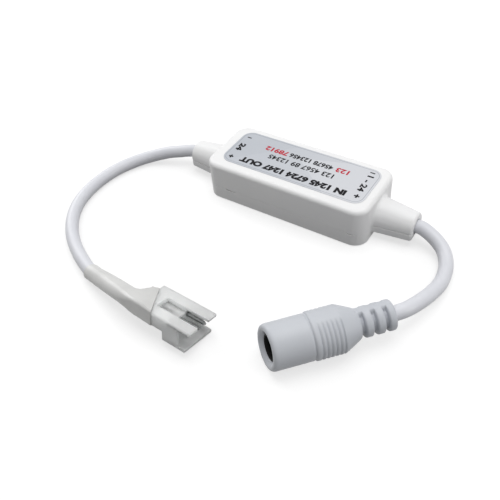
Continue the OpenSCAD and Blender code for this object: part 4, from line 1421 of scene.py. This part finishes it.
@dataclass
class StripConnector(Assembly):
    """The three-pin connector with its wires and the shrunk sleeve over the end of the cord."""

    place: Point = (-1.6, -61.0, 2.3466)
    roll: float = 14.0
    yaw: float = -3.4
    roles: tuple[str, ...] = ("positive", "data", "ground")
    edge_round: float = 0.1
    pin_round: float = 0.08
    wire_round: float = 0.05
    near_top: float = 6.3
    near_top_round: float = 0.5
    near_top_steps: int = 3
    within: float = 0.02
    web_start: Point = (1.3, 0.0, 0.5)
    web_end: Point = (4.6, 0.85, 5.8)
    web_shift: float = 8.85
    latch_x: tuple[float, float] = (1.9, 4.7)
    latch_y: tuple[float, float] = (2.8, 6.9)
    latch_top: float = 0.9
    latch_rim: float = 0.4
    latch_rise: float = 0.55
    level_within: float = 0.01
    sleeve_smooth: float = 60.0
    ring_points: int = 48
    rim_rings: int = 2
    rings_between: int = 4
    fold_depth: float = 0.14
    fold_start: float = -17.0
    fold_fade: float = 6.0
    fold_pitch: float = 2.9
    fold_lean: float = 0.35
    skin: tuple[Section, ...] = (
        Section(-31.1, 4.2, 8.0, -0.5, 3.3, 1.9, -0.25),
        Section(-31.15, 3.83, 8.2, -0.76, 3.58, 2.15, -0.25),
        Section(-30.9, 3.78, 8.22, -0.78, 3.62, 2.2, -0.25),
        Section(-27.7, 3.1, 7.5, -0.3, 4.15, 2.2, -0.12),
        Section(-23.9, 2.1, 6.9, 0.45, 4.95, 2.25),
        Section(-19.5, 1.1, 6.3, 1.3, 5.6, 2.15, 0.0, 0.1),
        Section(-15.6, 0.35, 5.6, 1.95, 6.15, 2.0, 0.0, 0.3),
        Section(-12.4, -0.1, 5.1, 2.3, 6.35, 1.5, 0.1, 0.75),
        Section(-10.2, -0.24, 5.4, 2.27, 6.45, 1.0, 0.25, 1.0),
        Section(-7.0, -0.28, 6.9, 2.25, 6.5, 0.8, 0.5, 1.0),
        Section(-3.5, -0.3, 8.3, 2.3, 6.5, 0.5, 0.6, 0.45),
    )
    pocket: tuple[Section, ...] = (
        Section(-3.38, -0.2, 8.2, 2.4, 6.43, 0.42, 0.6, 0.35),
        Section(-3.4, -0.07, 8.0, 2.48, 6.37, 0.2, 0.6),
        Section(-5.2, -0.06, 7.9, 2.5, 6.36, 0.2, 0.45),
        Section(-8.9, -0.06, 7.6, 2.5, 6.36, 0.2, 0.15),
    )

    def build(self) -> list[bpy.types.Object]:
        """Makes the sleeve, the wires, the connector and its pins.

        Returns:
            The pieces, from the sleeve to the pins.
        """
        frame = (
            Matrix.Translation(self.place)
            @ Matrix.Rotation(math.radians(self.yaw), 4, "Z")
            @ Matrix.Rotation(math.radians(-self.roll), 4, "X")
        )
        shell = self.build_shell(frame)
        kinds = (
            ("connector_pin", "pin", Finish.CONTACT_METAL, self.pin_round),
            ("tail_wire", "tail", Finish.WIRE_WHITE, self.wire_round),
        )
        poles = [
            [
                self.refine(f"{node}_{role}", f"{name}_{role}", (finish,), width, test=None)
                for node, name, finish, width in kinds
            ]
            for role in self.roles
        ]
        pins, wires = zip(*poles)
        return [self.build_sleeve(frame), *wires, shell, *pins]

    def build_shell(self, frame: Matrix) -> bpy.types.Object:
        """Makes the connector's housing, with webs under its rails and a closed latch window.

        Args:
            frame: Where the connector lies.

        Returns:
            The housing's object.
        """
        shape = Shape.of_node(self.nodes["connector_housing"]).move(frame.inverted())
        self.close_latch(shape)
        for shift in (0.0, self.web_shift):
            across = Vector((0.0, shift, 0.0))
            shape.unite_box(Vector(self.web_start) + across, Vector(self.web_end) + across)
        shape.soften(self.near_top_round, self.near_top_steps, self.is_near_top)
        shape.soften(self.edge_round).move(frame)
        return shape.piece("connector_shell", (Finish.NYLON_NATURAL,), "connector_housing")

    def close_latch(self, shape: Shape) -> None:
        """Closes the latch window from above, so that a blind pocket is left in the underside."""
        mesh = shape.mesh
        walls = [
            face for face in mesh.faces if all(self.is_in_latch(vert.co) for vert in face.verts)
        ]
        rims = {
            edge
            for face in walls
            for edge in face.edges
            if abs(edge.verts[0].co.z - edge.verts[1].co.z) < self.level_within
        }
        bmesh.ops.delete(mesh, geom=walls, context="FACES_ONLY")
        stale = [edge for edge in mesh.edges if not edge.link_faces and edge not in rims]
        bmesh.ops.delete(mesh, geom=stale, context="EDGES")
        lower = [edge for edge in rims if edge.verts[0].co.z < self.latch_rim]
        raised = bmesh.ops.extrude_edge_only(mesh, edges=lower)["geom"]
        verts = [item for item in raised if isinstance(item, bmesh.types.BMVert)]
        bmesh.ops.translate(mesh, verts=verts, vec=(0.0, 0.0, self.latch_rise))
        bmesh.ops.holes_fill(mesh, edges=[edge for edge in mesh.edges if edge.is_boundary], sides=0)
        bmesh.ops.recalc_face_normals(mesh, faces=mesh.faces)

    def is_in_latch(self, spot: Vector) -> bool:
        """Returns whether a corner belongs to the latch window."""
        return (
            self.latch_x[0] < spot.x < self.latch_x[1]
            and self.latch_y[0] < spot.y < self.latch_y[1]
            and spot.z < self.latch_top
        )

    def is_near_top(self, edge: bmesh.types.BMEdge) -> bool:
        """Returns whether an edge is the long upper one on the near side of the connector."""
        return all(
            max(abs(vert.co.y), abs(vert.co.z - self.near_top)) < self.within for vert in edge.verts
        )

    def build_sleeve(self, frame: Matrix) -> bpy.types.Object:
        """Makes the shrunk sleeve: outer skin, rim, and the pocket round the connector's rear.

        Args:
            frame: Where the connector lies.

        Returns:
            The sleeve's object.
        """
        rings = [self.ring(section, self.fold_depth) for section in self.sections()]
        rings += [self.ring(section, 0.0) for section in self.pocket]
        shape = Shape().add_loft(rings).move(frame)
        return shape.piece(
            "sleeve_skin",
            (Finish.SLEEVE_WHITE,),
            "output_sleeve",
            slot=Finish.CORD_WHITE,
            smooth_below=self.sleeve_smooth,
        )

    def sections(self) -> list[Section]:
        """Returns the sections of the skin, with more of them in between behind the rim."""
        made = []
        last = len(self.skin) - 1
        for index in range(last):
            four = [astuple(self.skin[min(max(index + step, 0), last)]) for step in (-1, 0, 1, 2)]
            parts = self.rings_between if index >= self.rim_rings else 1
            for part in range(parts):
                made.append(Section(*(eased(*numbers, part / parts) for numbers in zip(*four))))
        return [*made, self.skin[-1]]

    def ring(self, section: Section, folds: float) -> list[Vector]:
        """Returns the points of one section.

        Args:
            section: The section.
            folds: The depth of the folds drawn into the top towards the connector.

        Returns:
            The points, from the far side round over the top.
        """
        half_width = (section.far - section.near) / 2
        half_height = (section.high - section.low) / 2
        corner = min(section.corner, half_width, half_height)
        fade = held((section.along - self.fold_start) / self.fold_fade)
        points = []
        for index in range(self.ring_points):
            angle = math.tau * (index + 0.5) / self.ring_points
            across, rise = math.cos(angle), math.sin(angle)
            w = half_width + math.copysign(half_width - corner, across) + corner * across
            h = half_height + math.copysign(half_height - corner, rise) + corner * rise
            wave = math.sin(self.fold_pitch * w + self.fold_lean * section.along)
            fold = folds * fade * max(rise, 0.0) * wave
            reach = w / (2 * half_width)
            lift = section.lift * (1.0 - reach) * h / (2 * half_height)
            x = section.along - section.skew * w * reach
            points.append(Vector((x, section.near + w, section.low + h + lift - abs(fold))))
        return points


# ---------------------------------------------------------------- circuit board


def paint_ends(middles: Sequence[Vector], axis: int, reach: float) -> FacePaint:
    """Returns what puts the ends of parts in the second slot.

    Args:
        middles: The middles of the parts.
        axis: The direction in which their ends lie, 0 for x and 1 for y.
        reach: How far their bodies reach that way from the middle.

    Returns:
        What chooses the slot of a face.
    """

    def choose(spot: Vector, _normal: Vector) -> int:
        """Returns 1 on an end, else 0."""
        nearest = min(middles, key=lambda middle: (middle - spot).length)
        return int(abs(spot[axis] - nearest[axis]) > reach)

    return choose


@dataclass
class CircuitBoard(Assembly):
    """The board inside the housing, with its parts, its solder and its wires."""

    half_length: float = 21.0
    half_width: float = 8.0
    top: float = 3.4
    edge_round: float = 0.05
    board_round: float = 0.06
    passive_round: float = 0.02
    can_round: float = 0.08
    wire_round: float = 0.04
    solder_round: float = 0.15
    cord_round: float = 0.06
    packages: tuple[tuple[str, str, float, float, float], ...] = (
        ("control_chip", "chip_control", -0.26, -0.48, 1.955),
        ("radio_chip", "chip_radio", -0.38, 0.5, 1.955),
        ("voltage_regulator", "regulator", 0.2, -0.52, 1.255),
        ("driver_transistor", "transistor", -0.62, -0.5, 0.655),
    )
    capacitors: Pairs = ((0.07, -0.2), (0.36, -0.2), (-0.2, 0.2), (-0.56, -0.12), (0.52, -0.12))
    resistors: Pairs = (
        (-0.62, 0.26), (-0.62, 0.5), (0.09, 0.84), (0.03, -0.46), (0.03, -0.72), (-0.55, -0.87),
    )
    passive_reach: float = 0.49
    diode: tuple[float, float] = (0.5, -0.6)
    diode_reach: float = 2.155
    diode_height: float = 2.07
    diode_band: float = 0.9
    crystal_base: float = 0.49
    can: tuple[float, float] = (0.41, 0.55)
    can_height: float = 2.5
    can_end: float = 5.55
    can_back: float = 5.45
    bung_from: float = 5.1
    bung_reach: float = 5.9
    lead_below: float = 0.01
    wall_facing: float = 0.3
    stripe: tuple[float, float] = (55.0, 92.0)
    bare_from: float = 17.59
    wires: tuple[tuple[str, str, Finish, int], ...] = (
        ("input_wire_positive", "input_core_red", Finish.WIRE_RED, 1),
        ("input_wire_negative", "input_core_black", Finish.WIRE_BLACK, 1),
        ("output_wire_positive", "output_core_red", Finish.WIRE_RED, -1),
        ("output_wire_data", "output_core_green", Finish.WIRE_GREEN, -1),
        ("output_wire_ground", "output_core_white", Finish.WIRE_WHITE, -1),
    )

    def build(self) -> None:
        """Makes every piece of the board."""
        self.refine("circuit_board", "board", (Finish.BOARD_GREEN,), self.board_round)
        self.build_chips()
        self.build_passives()
        self.refine(
            "input_capacitor", "capacitor",
            (Finish.CAPACITOR_SLEEVE, Finish.CAN_METAL, Finish.BUNG_BLACK, Finish.INK_WHITE),
            self.can_round, self.can_slot,
        )
        self.build_wires()

    def spot(self, across: float, down: float) -> Vector:
        """Returns a place on the board from its shares of half the board."""
        return Vector((across * self.half_length, down * self.half_width, self.top))

    def build_chips(self) -> None:
        """Makes the packages, black with tinned leads, and the crystal on its base."""
        finishes = (Finish.CHIP_BLACK, Finish.CAN_METAL, Finish.INK_WHITE)
        for node, name, across, down, reach in self.packages:
            choose = paint_ends([self.spot(across, down)], 1, reach)
            self.refine(node, name, finishes, self.edge_round, choose)
        self.refine("protection_diode", "diode", finishes, self.edge_round, self.diode_slot)
        self.refine(
            "crystal", "crystal_can", (Finish.CAN_METAL, Finish.CERAMIC_TAN), self.can_round,
            lambda spot, _normal: int(spot.z < self.top + self.crystal_base),
        )

    def diode_slot(self, spot: Vector, normal: Vector) -> int:
        """Returns the slot of a face of the diode: 0 body, 1 lead, 2 band."""
        along = spot.x - self.spot(*self.diode).x
        if abs(along) > self.diode_reach:
            return 1
        on_top = normal.z > FACING and spot.z < self.top + self.diode_height
        return 2 if on_top and along < -self.diode_band else 0

    def build_passives(self) -> None:
        """Makes the chip capacitors and resistors, with tinned ends."""
        for node, name, body, places in (
            ("ceramic_capacitors", "chip_capacitors", Finish.CERAMIC_TAN, self.capacitors),
            ("resistors", "chip_resistors", Finish.CHIP_BLACK, self.resistors),
        ):
            choose = paint_ends([self.spot(*place) for place in places], 0, self.passive_reach)
            self.refine(node, name, (body, Finish.CAN_METAL), self.passive_round, choose)

    def can_slot(self, spot: Vector, normal: Vector) -> int:
        """Returns the slot of a face of the big can: 0 sleeve, 1 metal, 2 bung, 3 stripe."""
        middle = self.spot(*self.can) + Vector((0.0, 0.0, self.can_height))
        along = spot.x - middle.x
        is_lead = along > self.can_end or spot.z < self.top - self.lead_below
        if is_lead or (along < -self.can_back and normal.x < -FACING):
            return 1
        on_bung = along > self.bung_from and (spot - middle).length < self.bung_reach
        if on_bung and normal.x > FACING:
            return 2
        turn = math.degrees(math.atan2(normal.z, normal.y))
        on_wall = abs(normal.x) < self.wall_facing
        return 3 if on_wall and self.stripe[0] < turn < self.stripe[1] else 0

    def build_wires(self) -> None:
        """Makes the antenna, the wires with bare ends, the solder and the cord ends."""
        self.refine("antenna_wire", "antenna", (Finish.COPPER_WIRE,), self.edge_round)
        for node, name, colour, side in self.wires:
            self.refine(
                node, name, (colour, Finish.COPPER_WIRE), self.wire_round,
                lambda spot, _normal, side=side: int(side * spot.x < self.bare_from),
            )
        self.refine("solder_joints", "solder_cones", (Finish.SOLDER,), self.solder_round)
        jacket = (Finish.CORD_WHITE,)
        for end in ("input", "output"):
            self.refine(f"{end}_cord_entry", f"{end}_cord_end", jacket, self.cord_round)


# ---------------------------------------------------------------- main


def main() -> None:
    """Builds the scene: studio, jack, connector, cords, housing, label and board."""
    logging.basicConfig(level=logging.INFO, format="%(name)s: %(message)s")
    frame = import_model()
    nodes = frame["nodes"]
    Studio().build()
    jack = PowerJack(nodes).build()
    connector = StripConnector(nodes).build()
    Cord("input_cord_jacket", "input_cord", INPUT_ROUTE, "plug", jack).build()
    Cord("output_cord_jacket", "output_cord", OUTPUT_ROUTE, "connector", connector).build()
    for assembly in (Housing, Label, CircuitBoard):
        assembly(nodes).build()


if __name__ == "__main__":
    main()
